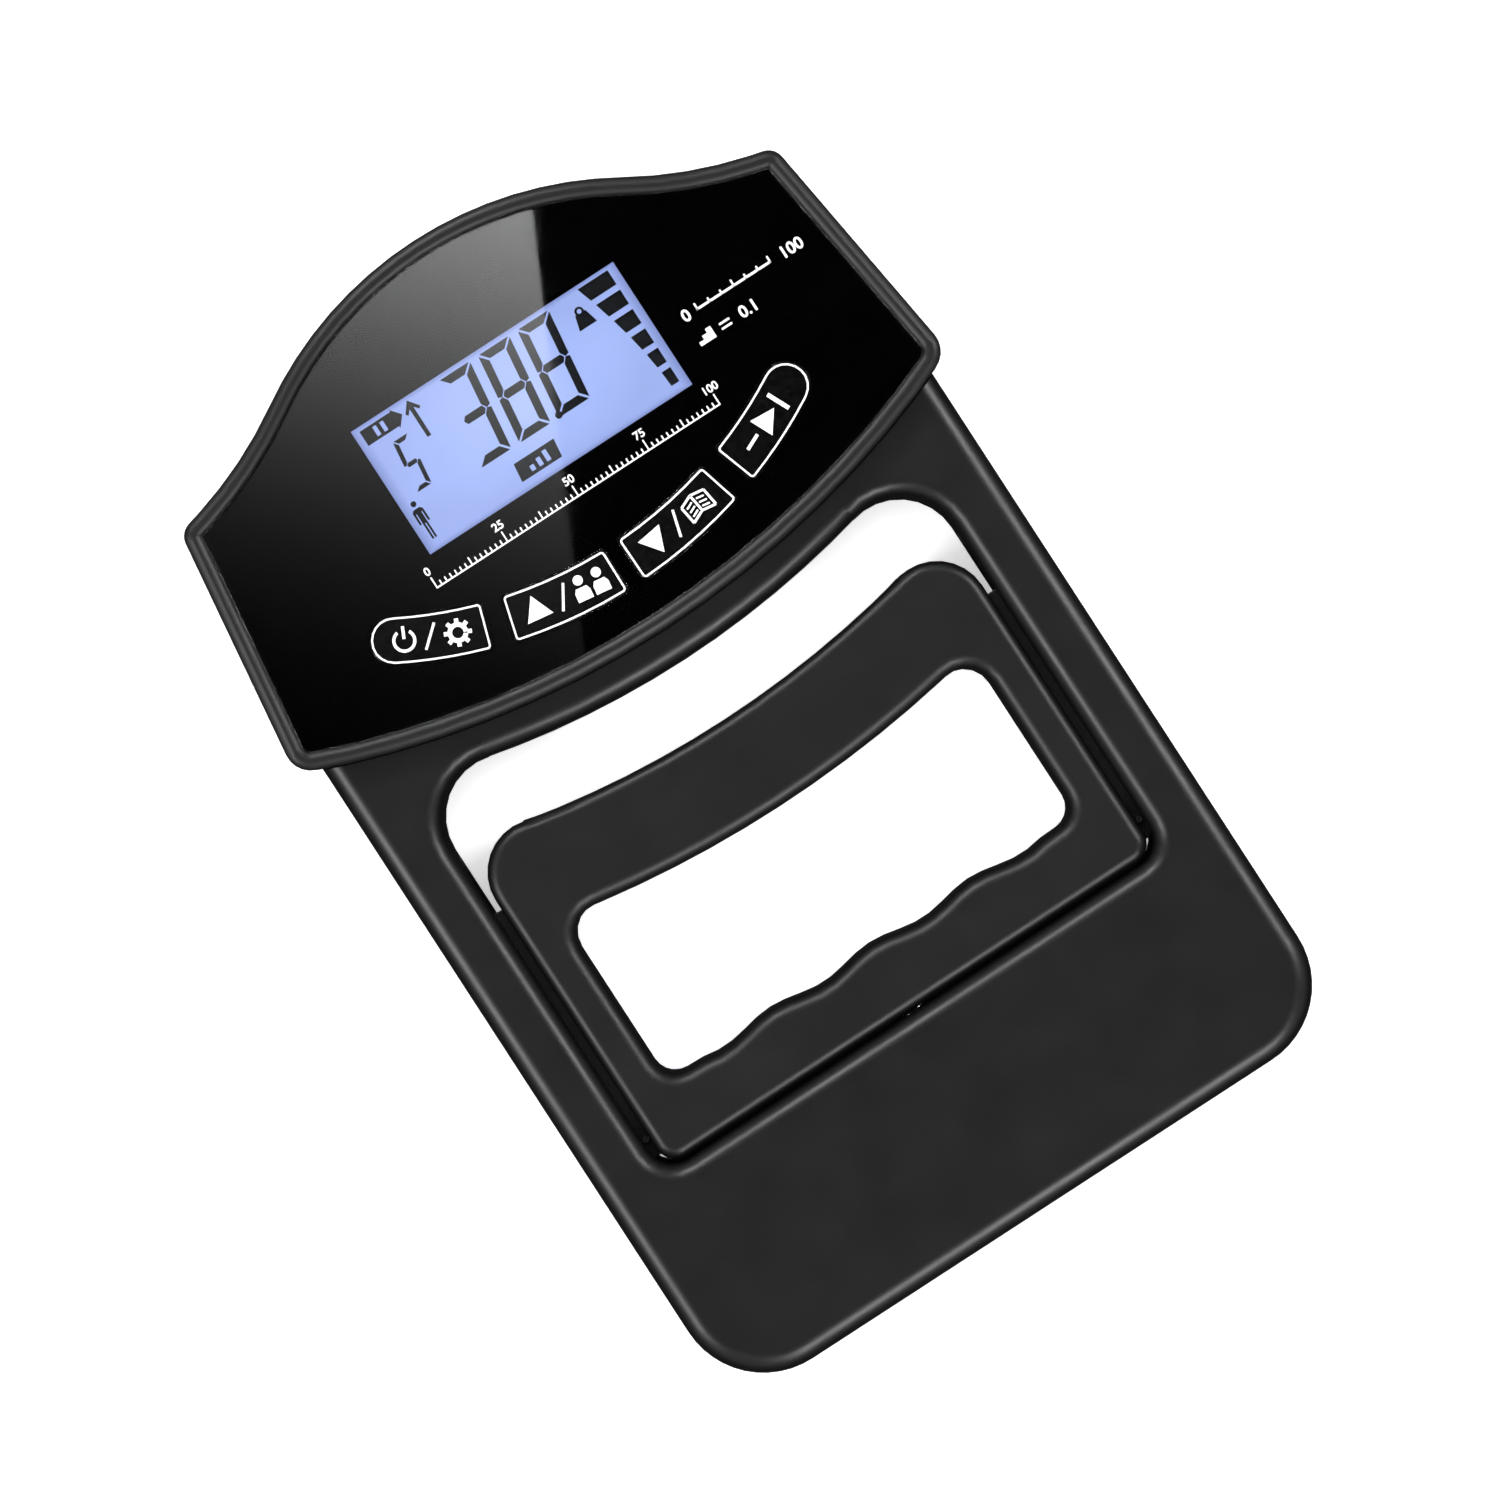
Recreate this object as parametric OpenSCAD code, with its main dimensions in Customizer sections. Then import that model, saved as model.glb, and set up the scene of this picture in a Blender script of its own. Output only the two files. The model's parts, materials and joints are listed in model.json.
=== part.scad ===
// Hand dynamometer, lying on its back. X runs across it, Y towards the display head, Z out of its face.

/* [Frame] */
// Width across the two side rails
body_w = 121.5; // [105:0.5:145]
// Length of the whole instrument
body_l = 192.5; // [172:0.5:230]
// Thickness of the two case shells together
body_t = 24; // [23:0.5:28]
// Width of each side rail
rail_w = 10.65; // [10.4:0.05:14]
// Length of the solid foot that the palm holds
foot_l = 39.25; // [38:0.25:48]
// Radius of the two corners at the foot
foot_r = 15; // [8:0.5:18]
// Rounding of the outer edges of the case
edge_r = 3.5; // [2:0.25:4]
// Thickness of the case walls
wall = 2.5; // [2:0.1:2.8]

/* [Display head] */
// Length of the head on the middle line
head_l = 76.85; // [72:0.25:90]
// How far the head stands out past each rail
head_overhang = 3.65; // [3:0.05:6]
// How far the head's rim stands above the frame
head_rise = 4.5; // [4:0.25:6]
// Width of the raised rim round the display panel
rim_w = 3; // [2.5:0.25:4]
// Visible width of the display
lcd_w = 52; // [46:0.5:56]
// Visible length of the display
lcd_l = 24.3; // [20:0.1:26]

/* [Keys] */
// Radial width of the curved row of keys
key_w = 8; // [7:0.25:9]
// Angle that one inner key covers, in degrees
key_angle = 14.2; // [12:0.1:14.5]
// How far a key goes down
key_travel = 0.6; // [0.3:0.1:0.7]

/* [Grip] */
// Length of the moving grip along the stroke
grip_l = 57.7; // [52:0.1:58]
// Thickness of the grip
grip_t = 20; // [18:0.5:21]
// Width of the grip's two side bars
grip_side = 7.5; // [7.2:0.1:10]
// Width of the grip's outer bar, next to the head
grip_top = 17.3; // [13:0.1:18]
// Width of the finger bar
grip_bar = 12.1; // [11.5:0.1:15]
// Depth of the waves under the four fingers
finger_wave = 0.7; // [0:0.1:1]

/* [Adjuster] */
// Diameter of the lead screw
screw_d = 6; // [5:0.5:6.5]
// Pitch of the lead screw
screw_pitch = 2; // [1.5:0.25:3]
// Diameter of the adjusting wheel
wheel_d = 20.8; // [19:0.2:21]
// Thickness of the adjusting wheel
wheel_t = 6.6; // [6:0.1:7]

/* [Battery] */
// Diameter of a battery cell
cell_d = 10.5; // [10:0.1:10.5]
// Length of a battery cell
cell_l = 44.5; // [43:0.1:44.5]

/* [Hidden] */
$fn = 48;

eps = 0.01;
// Clearances
joint_gap = 0.12;
slide_gap = 0.15;
run_gap = 0.05;
key_gap = 0.25;
side_gap = 1.6;
end_gap = 0.7;
top_gap = 1.2;
squeeze = 0.5;

// Levels, from the table up
foot_h = 1;
z_back = foot_h;
z_front = z_back + body_t;
z_split = z_back + body_t / 2;
z_rim = z_front + head_rise;
z_floor = z_back + wall;
z_plate = z_front - wall;
z_seat = z_front - 3;
z_panel = z_rim - 1.3;
panel_t = 1.75;
mask_t = 0.05;
z_mask = z_panel - panel_t - mask_t;
ledge_t = 1.5;
z_ledge = z_mask - ledge_t;
z_axis = z_back + body_t / 2 - 1;

// Places along the stroke
y_foot = -body_l / 2;
y_head = body_l / 2;
y_window = y_foot + foot_l;
y_chin = y_head - head_l;
bridge = 5.8;
window_l = y_chin - bridge - y_window;
half_w = body_w / 2;
window_x = half_w - rail_w;
inner_wall = 2.2;
grip_x = window_x - side_gap;
y_grip = y_window + end_gap;
hole_x = grip_x - grip_side;
y_bar = y_grip + grip_bar;
y_hole = y_grip + grip_l - grip_top;
z_grip_low = z_split - grip_t / 2;
z_grip_high = z_split + grip_t / 2;
grip_wall = 2.2;
grip_edge = 2;
hole_edge = 2.5;

// Head outline: a round crown, a hollow shoulder, a straight side that leans out and a round chin
head_x = half_w + head_overhang;
crown_r = head_x * 1.025;
shoulder_r = head_x * 1.118;
crown_a = 32;
shoulder_a = 15;
chin_r = 166.2;
side_lean = 0.1333;
shell_inset = 1.2;

// Adjuster chain, from the window's wall towards the foot
flange_t = 1;
cage_t = 1.3;
washer_t = 1;
washer_d = screw_d + 8;
cage_x = wheel_d / 2 + 0.8;
cage_screw_x = cage_x + 4.3;
bushing_d = screw_d + 3;
nut_d = screw_d + 5;
cell_t = 9.5;
cell_h = 12;
cell_x = half_w - 14.75;
y_inside = y_window - inner_wall;
y_cage = y_inside - flange_t - 0.4;
y_wheel = y_cage - cage_t - 0.25;
y_washer = y_wheel - wheel_t - run_gap;
y_cell = y_washer - washer_t;
y_cell_end = y_cell - cell_t;
ring_t = 0.8;
stroke_room = y_cell_end - (y_foot + wall) - ring_t - squeeze - 0.75;
travel = min(window_l - grip_l - end_gap - top_gap, stroke_room);
y_ring = y_cell_end - travel - 0.2;
y_screw_end = y_ring - ring_t - 0.2;
y_anchor = y_grip + grip_wall + 0.2;
anchor_l = grip_bar - 2 * grip_wall - 1.6;

// Guide shoes
shoe_y0 = y_grip + 2.3;
shoe_y1 = y_grip + 51.3;
shoe_tip = window_x + 4.2;
shoe_h = 6;

// Battery bay
bay_y = y_chin + 33;
cell_pitch = cell_d + 0.8;
bay_x = cell_l / 2 + 3.2;
bay_l = 2 * cell_pitch + 1;
door_t = 2;
z_cell = z_back + door_t + 0.3 + cell_d / 2;
z_bay = z_cell + cell_d / 2 + 0.4;
bay_wall = 1.4;
hinge_y = bay_y + bay_l / 2 + 3.2;
hinge_z = z_back + 1.6;
hinge_r = 1.5;
hinge_x = 17;
hinge_w = 6;

// Keys, as angles on a circle whose centre lies above the head's middle
key_cy = y_chin + 91.6;
key_r0 = 75;
key_r1 = key_r0 + key_w;
key_a0 = 1.1;
key_step = key_angle + 2.8;
z_key_top = z_panel + 0.5;
flange_h = 0.8;
z_key_flange = z_mask - 0.1 - flange_h;

// Electronics
board_t = 1.6;
z_board = z_ledge - 5.5;
board_top = z_board + board_t;
board_x = half_w - 15;
board_y0 = y_chin + 8.6;
// The board ends below the head's top, and below its shoulders at the board's corners
shoulder_mid = [0, y_head - crown_r] + (crown_r + shoulder_r) * [sin(crown_a), cos(crown_a)];
board_y1 = min(y_head - 21, shoulder_mid.y - sqrt(pow(shoulder_r, 2) - pow(shoulder_mid.x - board_x, 2)) - shell_inset
    - wall - 1);
lcd_y = y_chin + 43.75;
glass_t = 2.2;
z_glass = z_mask - 0.25 - glass_t;
light_t = 1.8;
z_light = z_glass - 0.1 - light_t;

// Screws
foot_posts = [[-half_w + 10.75, y_foot + 9.75], [half_w - 10.75, y_foot + 9.75],
    [-half_w + 16.75, y_window - 7.5], [half_w - 16.75, y_window - 7.5]];
head_posts = [[-half_w + 8.25, y_chin + 19.6], [half_w - 8.25, y_chin + 19.6],
    [-half_w + 10.75, y_head - 26.5], [half_w - 10.75, y_head - 26.5]];
board_posts = [[-board_x + 4, board_y0 + 9], [board_x - 4, board_y0 + 9],
    [-board_x + 4, board_y1 - 4], [board_x - 4, board_y1 - 4]];
grip_posts = [[-grip_x + 8.2, y_grip + grip_l - 11], [grip_x - 8.2, y_grip + grip_l - 11],
    [-grip_x * 0.62, y_grip + grip_bar / 2], [grip_x * 0.62, y_grip + grip_bar / 2]];
foot_pads = [[-half_w + 9, y_foot + 22], [half_w - 9, y_foot + 22],
    [-half_w + 9, y_head - 38], [half_w - 9, y_head - 38]];
post_d = 7;
m3 = 3;
m3_head = 5.6;
m2 = 2;

// ---- points and outlines ----

function unit(v) = v / norm(v);

// Arc from angle a0 to a1 about c, as n + 1 points
function arc(c, r, a0, a1, n) =
    [for (i = [0:n]) [c.x + r * cos(a0 + (a1 - a0) * i / n), c.y + r * sin(a0 + (a1 - a0) * i / n)]];

// One corner of radius r at b, between a and c, as n + 1 points
function corner(a, b, c, r, n = 5) =
    let (u = unit(a - b), v = unit(c - b), half = acos(u * v) / 2,
        mid = b + unit(u + v) * r / sin(half),
        p = b + u * r / tan(half), q = b + v * r / tan(half),
        a0 = atan2(p.y - mid.y, p.x - mid.x), turn = atan2(q.y - mid.y, q.x - mid.x) - a0,
        sweep = turn > 180 ? turn - 360 : turn < -180 ? turn + 360 : turn)
    arc(mid, r, a0, a0 + sweep, n);

function xy(p) = [p.x, p.y];

// Outline through points [x, y, radius, steps]: a point with no radius stays sharp
function rounded(pts) = [
    for (i = [0:len(pts) - 1])
        let (p = pts[i], a = pts[(i + len(pts) - 1) % len(pts)], c = pts[(i + 1) % len(pts)])
        each (len(p) < 3 ? [p] : corner(xy(a), xy(p), xy(c), p[2], len(p) > 3 ? p[3] : 5))];

// The right half of an outline, from the top down, with its mirror image
function both_sides(right) =
    concat(right, [for (i = [len(right) - 1:-1:0]) let (p = right[i])
        if (abs(p.x) > eps) concat([-p.x], [for (k = [1:len(p) - 1]) p[k]])]);

function head_side(y, i) = head_x + 0.5 - (y - y_chin - 12) * side_lean - i * sqrt(1 + side_lean * side_lean);
function chin_y(x, i) = y_chin + chin_r - sqrt((chin_r - i) * (chin_r - i) - x * x);

// Outline of the head, moved in by i
function head_pts(i = 0) =
    let (crown_c = [0, y_head - crown_r],
        shoulder_c = crown_c + (crown_r + shoulder_r) * [sin(crown_a), cos(crown_a)],
        crown = arc(crown_c, crown_r - i, 90, 90 - crown_a, 8),
        shoulder = arc(shoulder_c, shoulder_r + i, -90 - crown_a, -90 - shoulder_a, 4),
        last = shoulder[4],
        top_y = last.y - (head_side(last.y, i) - last.x) * tan(shoulder_a),
        low_y = chin_y(head_side(y_chin + 13, i), i),
        low_x = head_side(low_y, i),
        low_a = asin(low_x / (chin_r - i)),
        chin = arc([0, y_chin + chin_r], chin_r - i, -90 + low_a - 3, -90, 7))
    rounded(both_sides(concat(crown, [for (k = [1:4]) shoulder[k]],
        [[head_side(top_y, i), top_y, max(3 - i, 0.4)], [low_x, low_y, max(4.5 - i, 0.6)]], chin)));

// Outline of the frame, moved in by i: its upper end lies under the head
function frame_pts(i = 0) =
    rounded([[-half_w + i, y_chin + 25 - i], [half_w - i, y_chin + 25 - i],
        [half_w - i, y_foot + i, foot_r - i, 12], [-half_w + i, y_foot + i, foot_r - i, 12]]);

// A slot with an arched top: half width x, bottom y0, top y1 on the middle line
function arched_pts(x, y0, y1, arch_r, top_r, low_r, o = 0) =
    let (top = arc([0, y1 + arch_r], arch_r - o, -90, -90 + asin((x + o - top_r - 2) / (arch_r - o)), 6),
        y_side = y1 + arch_r - sqrt((arch_r - o) * (arch_r - o) - (x + o) * (x + o)))
    rounded(both_sides(concat(top, [[x + o, y_side, top_r + o, 8], [x + o, y0 - o, low_r + o], [0, y0 - o]])));

// The frame's window, made wider by o
function window_pts(o = 0) =
    arched_pts(window_x, y_window, y_window + window_l, 160, 10.5, 5, o);

// The grip's outer outline, moved in by i
function grip_pts(i = 0) =
    arched_pts(grip_x, y_grip, y_grip + grip_l, 175, 9, 3.5, -i);

function bar_y(x) = y_bar + finger_wave * cos(x * 360 / 20);

// The hole for the fingers, made wider by o, with a wave for each finger along the bar
function hole_pts(o = 0) =
    let (arch_r = 200, top_r = 5 + o, low_r = 4 + o,
        top = arc([0, y_hole + arch_r], arch_r - o, -90, -90 + asin((hole_x - top_r + o - 2) / (arch_r - o)), 5),
        y_side = y_hole + arch_r - sqrt((arch_r - o) * (arch_r - o) - (hole_x + o) * (hole_x + o)),
        last_x = hole_x - 7,
        wave = [for (k = [12:-1:0]) [last_x * k / 12, bar_y(last_x * k / 12) - o]])
    rounded(both_sides(concat(top, [[hole_x + o, y_side, top_r], [hole_x + o, y_bar - o, low_r]], wave)));

function polar(r, a) = [r * sin(a), key_cy - r * cos(a)];

// Outline of a key from angle a0 to a1, made wider by o, with a round or a square far end
function key_pts(a0, a1, o, round_end) =
    let (r0 = key_r0 - o, r1 = key_r1 + o, mid = (r0 + r1) / 2,
        d = o / mid * 180 / PI, end_r = round_end ? (r1 - r0) / 2 - 0.05 : 0.8,
        cut = (end_r + 0.1) / r0 * 180 / PI, b0 = a0 - d, b1 = a1 + d, n = 5,
        near = (0.8 + 0.1) / r0 * 180 / PI)
    rounded(concat([concat(polar(r0, b0), 0.8)],
        [for (k = [0:n]) polar(r0, b0 + near + (b1 - cut - b0 - near) * k / n)],
        [concat(polar(r0, b1), end_r), concat(polar(r1, b1), end_r)],
        [for (k = [n:-1:0]) polar(r1, b0 + near + (b1 - cut - b0 - near) * k / n)],
        [concat(polar(r1, b0), 0.8)]));

// ---- solids shared by the sub-parts ----

module prism(pts, z0, z1) {
    translate([0, 0, z0]) linear_extrude(z1 - z0) polygon(pts);
}

// Solid through clockwise outlines of one point count, each with its level. The ends are fans about their middle
module loft(outlines, levels) {
    n = len(outlines[0]);
    last = len(outlines) - 1;
    ys = [for (p = outlines[0]) p.y];
    mid_y = (min(ys) + max(ys)) / 2;
    points = concat([for (k = [0:last]) for (p = outlines[k]) [p.x, p.y, levels[k]]],
        [[0, mid_y, levels[0]], [0, mid_y, levels[last]]]);
    low = (last + 1) * n;
    sides = [for (k = [0:last - 1]) for (i = [0:n - 1]) let (j = (i + 1) % n)
        each [[k * n + i, (k + 1) * n + j, (k + 1) * n + i], [k * n + i, k * n + j, (k + 1) * n + j]]];
    ends = [for (i = [0:n - 1]) let (j = (i + 1) % n)
        each [[low, j, i], [low + 1, last * n + i, last * n + j]]];
    polyhedron(points, concat(sides, ends));
}

// Steps of a quarter round, as [distance in, distance from the face]
function round_steps(r) = [for (a = [90, 60, 30, 0]) [r * (1 - sin(a)), r * (1 - cos(a))]];

module tube_y(d, y0, y1, x = 0, z = z_axis) {
    translate([x, y0, z]) rotate([-90, 0, 0]) cylinder(d = d, h = y1 - y0);
}

module block(x0, x1, y0, y1, z0, z1) {
    translate([x0, y0, z0]) cube([x1 - x0, y1 - y0, z1 - z0]);
}

module at_each(places) {
    for (p = places) translate([p.x, p.y, 0]) children();
}

module post(d, z0, z1) {
    translate([0, 0, z0]) cylinder(d = d, h = z1 - z0);
}

module case_cavity(z0, z1) {
    translate([0, 0, z0]) linear_extrude(z1 - z0) difference() {
        union() {
            polygon(frame_pts(wall));
            polygon(head_pts(shell_inset + wall));
        }
        polygon(window_pts(inner_wall));
    }
}

// The window's opening, with its edges rounded at the face at z1 when top is true, or else at z0
module window_cut(z0, z1, top) {
    steps = round_steps(edge_r - 0.5);
    outlines = concat([for (s = steps) window_pts(s[0])], [window_pts(edge_r - 0.5)]);
    if (top) {
        loft(concat([window_pts()], outlines),
            concat([z0 - 1], [for (s = steps) z1 - s[1]], [z1 + 1]));
    } else {
        mirror([0, 0, 1]) loft(concat([window_pts()], outlines),
            concat([-z1 - 1], [for (s = steps) -z0 - s[1]], [-z0 + 1]));
    }
}

// Slots through the inner walls of the rails, where the guide shoes pass
module shoe_slots() {
    for (s = [-1, 1])
        block(s * (window_x + inner_wall / 2) - inner_wall, s * (window_x + inner_wall / 2) + inner_wall,
            shoe_y0 - squeeze - 0.5, shoe_y1 + travel + 0.5, z_split - shoe_h / 2 - 0.6, z_split + shoe_h / 2 + 0.6);
}

module bushing_hole() {
    tube_y(bushing_d, y_inside - eps, y_window + eps);
}

// ---- frame ----

module rear_body() {
    steps = round_steps(edge_r);
    levels = concat([for (k = [3:-1:0]) z_back + steps[k][1]], [z_split]);
    loft(concat([for (k = [3:-1:0]) frame_pts(steps[k][0])], [frame_pts()]), levels);
    loft(concat([for (k = [3:-1:0]) head_pts(shell_inset + steps[k][0])], [head_pts(shell_inset)]), levels);
}

plate_y = y_foot + 10.5;
plate_x = 22;
plate_half = 5.5;
dish_d = 26;
dish_wall = 1.4;
dish_depth = z_axis - cell_h / 2 - 0.3 - dish_wall - z_back;
dish_y = y_wheel - wheel_t / 2;
z_dish = z_back + dish_depth;
wheel_gap = 0.6;
slot_x = sqrt(pow(wheel_d / 2 + wheel_gap, 2) - pow(z_axis - z_dish - 2, 2)) + 0.3;

// Finger dish round the adjusting wheel, and the wheel's slot through its floor
module dish_cut() {
    intersection() {
        translate([0, dish_y, z_back - eps]) cylinder(d1 = dish_d, d2 = dish_d - 5, h = dish_depth);
        block(-dish_d, dish_d, y_foot, y_window - 3.2, 0, z_split);
    }
    block(-slot_x, slot_x, dish_y - wheel_t / 2 - wheel_gap - squeeze, dish_y + wheel_t / 2 + wheel_gap,
        z_back, z_dish + 3);
}

module bay_box(grow, z0, z1) {
    block(-bay_x - grow, bay_x + grow, bay_y - bay_l / 2 - grow, bay_y + bay_l / 2 + grow, z0, z1);
}

module rear_shell() color("#242426") difference() {
    union() {
        difference() {
            rear_body();
            case_cavity(z_floor, z_split + 1);
        }
        intersection() {
            translate([0, dish_y, z_back + 1]) cylinder(d = dish_d + 3, h = dish_depth + dish_wall - 1);
            case_cavity(z_back, z_split);
        }
        bay_box(bay_wall, z_floor - eps, z_bay + bay_wall);
        for (s = [-1, 1])
            block(s * hinge_x - 6.5, s * hinge_x + 6.5, bay_y + bay_l / 2 + bay_wall - eps, hinge_y + 4.5,
                z_floor - eps, hinge_z + 4);
        at_each(concat(foot_posts, head_posts)) post(post_d, z_floor - eps, z_split);
        for (s = [-1, 1]) translate([s * (cell_x - 4.5), y_cell - cell_t / 2, 0])
            post(8.5, z_floor - eps, z_axis - cell_h / 2);
        at_each(foot_pads) post(11, z_floor - eps, z_floor + 0.8);
    }
    window_cut(z_back, z_split, false);
    shoe_slots();
    bushing_hole();
    dish_cut();
    tube_y(washer_d + 0.6, y_washer - washer_t - squeeze - 0.4, y_washer + eps);
    bay_box(0, z_floor - 1, z_bay);
    door_recess();
    at_each(concat(foot_posts, head_posts)) {
        post(m3 + 0.4, z_back - 1, z_split + 1);
        post(m3_head + 0.6, z_back - 1, z_back + 4);
    }
    for (s = [-1, 1]) translate([s * (cell_x - 4.5), y_cell - cell_t / 2, 0])
        post(m3 + run_gap, z_floor + 0.4, z_axis);
    at_each(foot_pads) post(8, z_back - 1, z_back + 0.8);
    translate([0, plate_y, 0]) block(-plate_x, plate_x, -plate_half, plate_half, z_back - 1, z_back + 0.5);
}

door_gap = 0.3;
door_y0 = bay_y - bay_l / 2 - 3;
door_y1 = hinge_y - hinge_r - 0.4;
door_x = bay_x + 3;

// The opening that the battery door closes, with pockets for its hinge barrels and its latch
module door_recess() {
    block(-door_x - door_gap, door_x + door_gap, door_y0 - door_gap, hinge_y - 0.9, z_back - 1, z_back + door_t + 0.1);
    bay_box(0, z_back, z_bay);
    for (s = [-1, 1]) {
        block(s * hinge_x - hinge_w / 2 - 0.3, s * hinge_x + hinge_w / 2 + 0.3, hinge_y - hinge_r - 1,
            hinge_y + hinge_r + 1.2, z_back - 1, hinge_z + hinge_r + 0.4);
        translate([s * hinge_x - 5.3, hinge_y, hinge_z]) rotate([0, 90, 0]) cylinder(d = 1.7, h = 10.6);
    }
    block(-5.5, 5.5, door_y0 - 3.6, door_y0 + 1, z_back - 1, z_back + 1.4);
}

module front_shell() color("#262628") difference() {
    union() {
        difference() {
            union() {
                steps = round_steps(edge_r);
                loft(concat([frame_pts()], [for (s = steps) frame_pts(s[0])]),
                    concat([z_split], [for (s = steps) z_front - s[1]]));
                prism(head_pts(shell_inset), z_split, z_seat);
            }
            prism(head_pts(-joint_gap), z_seat, z_front + 1);
            case_cavity(z_split - 1, z_plate);
            prism(head_pts(shell_inset + wall), z_seat - 1, z_front + 1);
        }
        at_each(foot_posts) post(post_d, z_split, z_plate + eps);
        at_each(head_posts) post(post_d, z_split, z_seat);
        intersection() {
            for (p = head_posts) block(min(0, sign(p.x) * head_x) + (p.x > 0 ? p.x : 0),
                max(0, sign(p.x) * head_x) + (p.x < 0 ? p.x : 0), p.y - 1, p.y + 1, z_split, z_seat - 1);
            prism(head_pts(shell_inset + 0.5), z_split - 1, z_seat);
        }
    }
    window_cut(z_split, z_front, true);
    shoe_slots();
    bushing_hole();
    at_each(foot_posts) post(m3 + run_gap, z_split - 1, z_plate - 0.4);
    at_each(head_posts) post(m3 + 0.4, z_split - 1, z_front);
    tube_y(wheel_d + 2 * wheel_gap, dish_y - wheel_t / 2 - wheel_gap - squeeze, dish_y + wheel_t / 2 + wheel_gap);
}

// Outline of an inner or outer key on the right, made wider by o
function key_outline(outer, o) =
    key_pts(key_a0 + outer * key_step, key_a0 + outer * key_step + key_angle, o, outer == 1);

module head_bezel() color("#222224") difference() {
    union() {
        difference() {
            loft([head_pts(), head_pts(), head_pts(0.3), head_pts(1.5)],
                [z_seat, z_rim - 1.5, z_rim - 0.6, z_rim]);
            prism(head_pts(rim_w - 0.6), z_seat - 1, z_ledge);
        }
        at_each(head_posts) post(post_d, z_seat, z_ledge + eps);
        at_each(board_posts) post(4.5, board_top, z_ledge + eps);
    }
    loft([head_pts(rim_w), head_pts(rim_w), head_pts(rim_w - 0.4), head_pts(1.5)],
        [z_mask, z_rim - 0.9, z_rim - 0.3, z_rim + 0.05]);
    translate([0, lcd_y, 0]) block(-lcd_w / 2 - 3.5, lcd_w / 2 + 3.5, -lcd_l / 2 - 3.5, lcd_l / 2 + 3.5,
        z_seat, z_front + 5);
    translate([0, 0, z_seat]) linear_extrude(10) for (s = [-1, 1], outer = [0, 1])
        mirror([s < 0 ? 1 : 0, 0, 0]) polygon(key_outline(outer, 1.1));
    at_each(head_posts) post(m3 + run_gap, z_seat - 1, z_ledge + 0.3);
    at_each(board_posts) post(m2 + run_gap, board_top - 1, z_ledge + 0.3);
}

module panel_outline(z0, z1, window) {
    difference() {
        prism(head_pts(rim_w + 0.1), z0, z1);
        translate([0, 0, z0 - 1]) linear_extrude(z1 - z0 + 2) for (s = [-1, 1], outer = [0, 1])
            mirror([s < 0 ? 1 : 0, 0, 0]) polygon(key_outline(outer, key_gap));
        if (window)
            translate([0, lcd_y, 0]) block(-lcd_w / 2, lcd_w / 2, -lcd_l / 2, lcd_l / 2, z0 - 1, z1 + 1);
    }
}

module panel_mask() color("#050506") panel_outline(z_mask, z_mask + mask_t, true);

module display_panel() color("#0a0a0c", 0.5) panel_outline(z_mask + mask_t, z_panel, false);

// ---- display ----

module lcd_glass() color("#b4c2fb") translate([0, lcd_y, z_glass]) {
    block(-lcd_w / 2 - 3, lcd_w / 2 + 3, -lcd_l / 2 - 3, lcd_l / 2 + 3, 0, glass_t);
}

slant = 0.13;

function shear(pts, mid) = [for (p = pts) [mid.x + p.x + p.y * slant, mid.y + p.y]];

// The seven bars of a digit with half width w, half height h and bar width t
function digit_bars(w, h, t, g) = [
    [[-w + g, h], [w - g, h], [w - t - g, h - t], [-w + t + g, h - t]],
    [[w, h - g], [w, g], [w - t / 2, 0], [w - t, t / 2 + g], [w - t, h - t - g]],
    [[w, -h + g], [w, -g], [w - t / 2, 0], [w - t, -t / 2 - g], [w - t, -h + t + g]],
    [[-w + g, -h], [w - g, -h], [w - t - g, -h + t], [-w + t + g, -h + t]],
    [[-w, -h + g], [-w, -g], [-w + t / 2, 0], [-w + t, -t / 2 - g], [-w + t, -h + t + g]],
    [[-w, h - g], [-w, g], [-w + t / 2, 0], [-w + t, t / 2 + g], [-w + t, h - t - g]],
    [[-w + t / 2 + g, 0], [-w + t, t / 2], [w - t, t / 2], [w - t / 2 - g, 0], [w - t, -t / 2], [-w + t, -t / 2]]];

lit_3 = [0, 1, 2, 3, 6];
lit_8 = [0, 1, 2, 3, 4, 5, 6];
lit_5 = [0, 2, 3, 5, 6];

module digit(mid, w, h, t, g, lit) {
    bars = digit_bars(w, h, t, g);
    for (k = lit) polygon(shear(bars[k], mid));
}

function scale_edge(y) = 22.95 - 4.35 * pow(max(y + 11.2, 0) / 22.5, 1.7);

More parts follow.
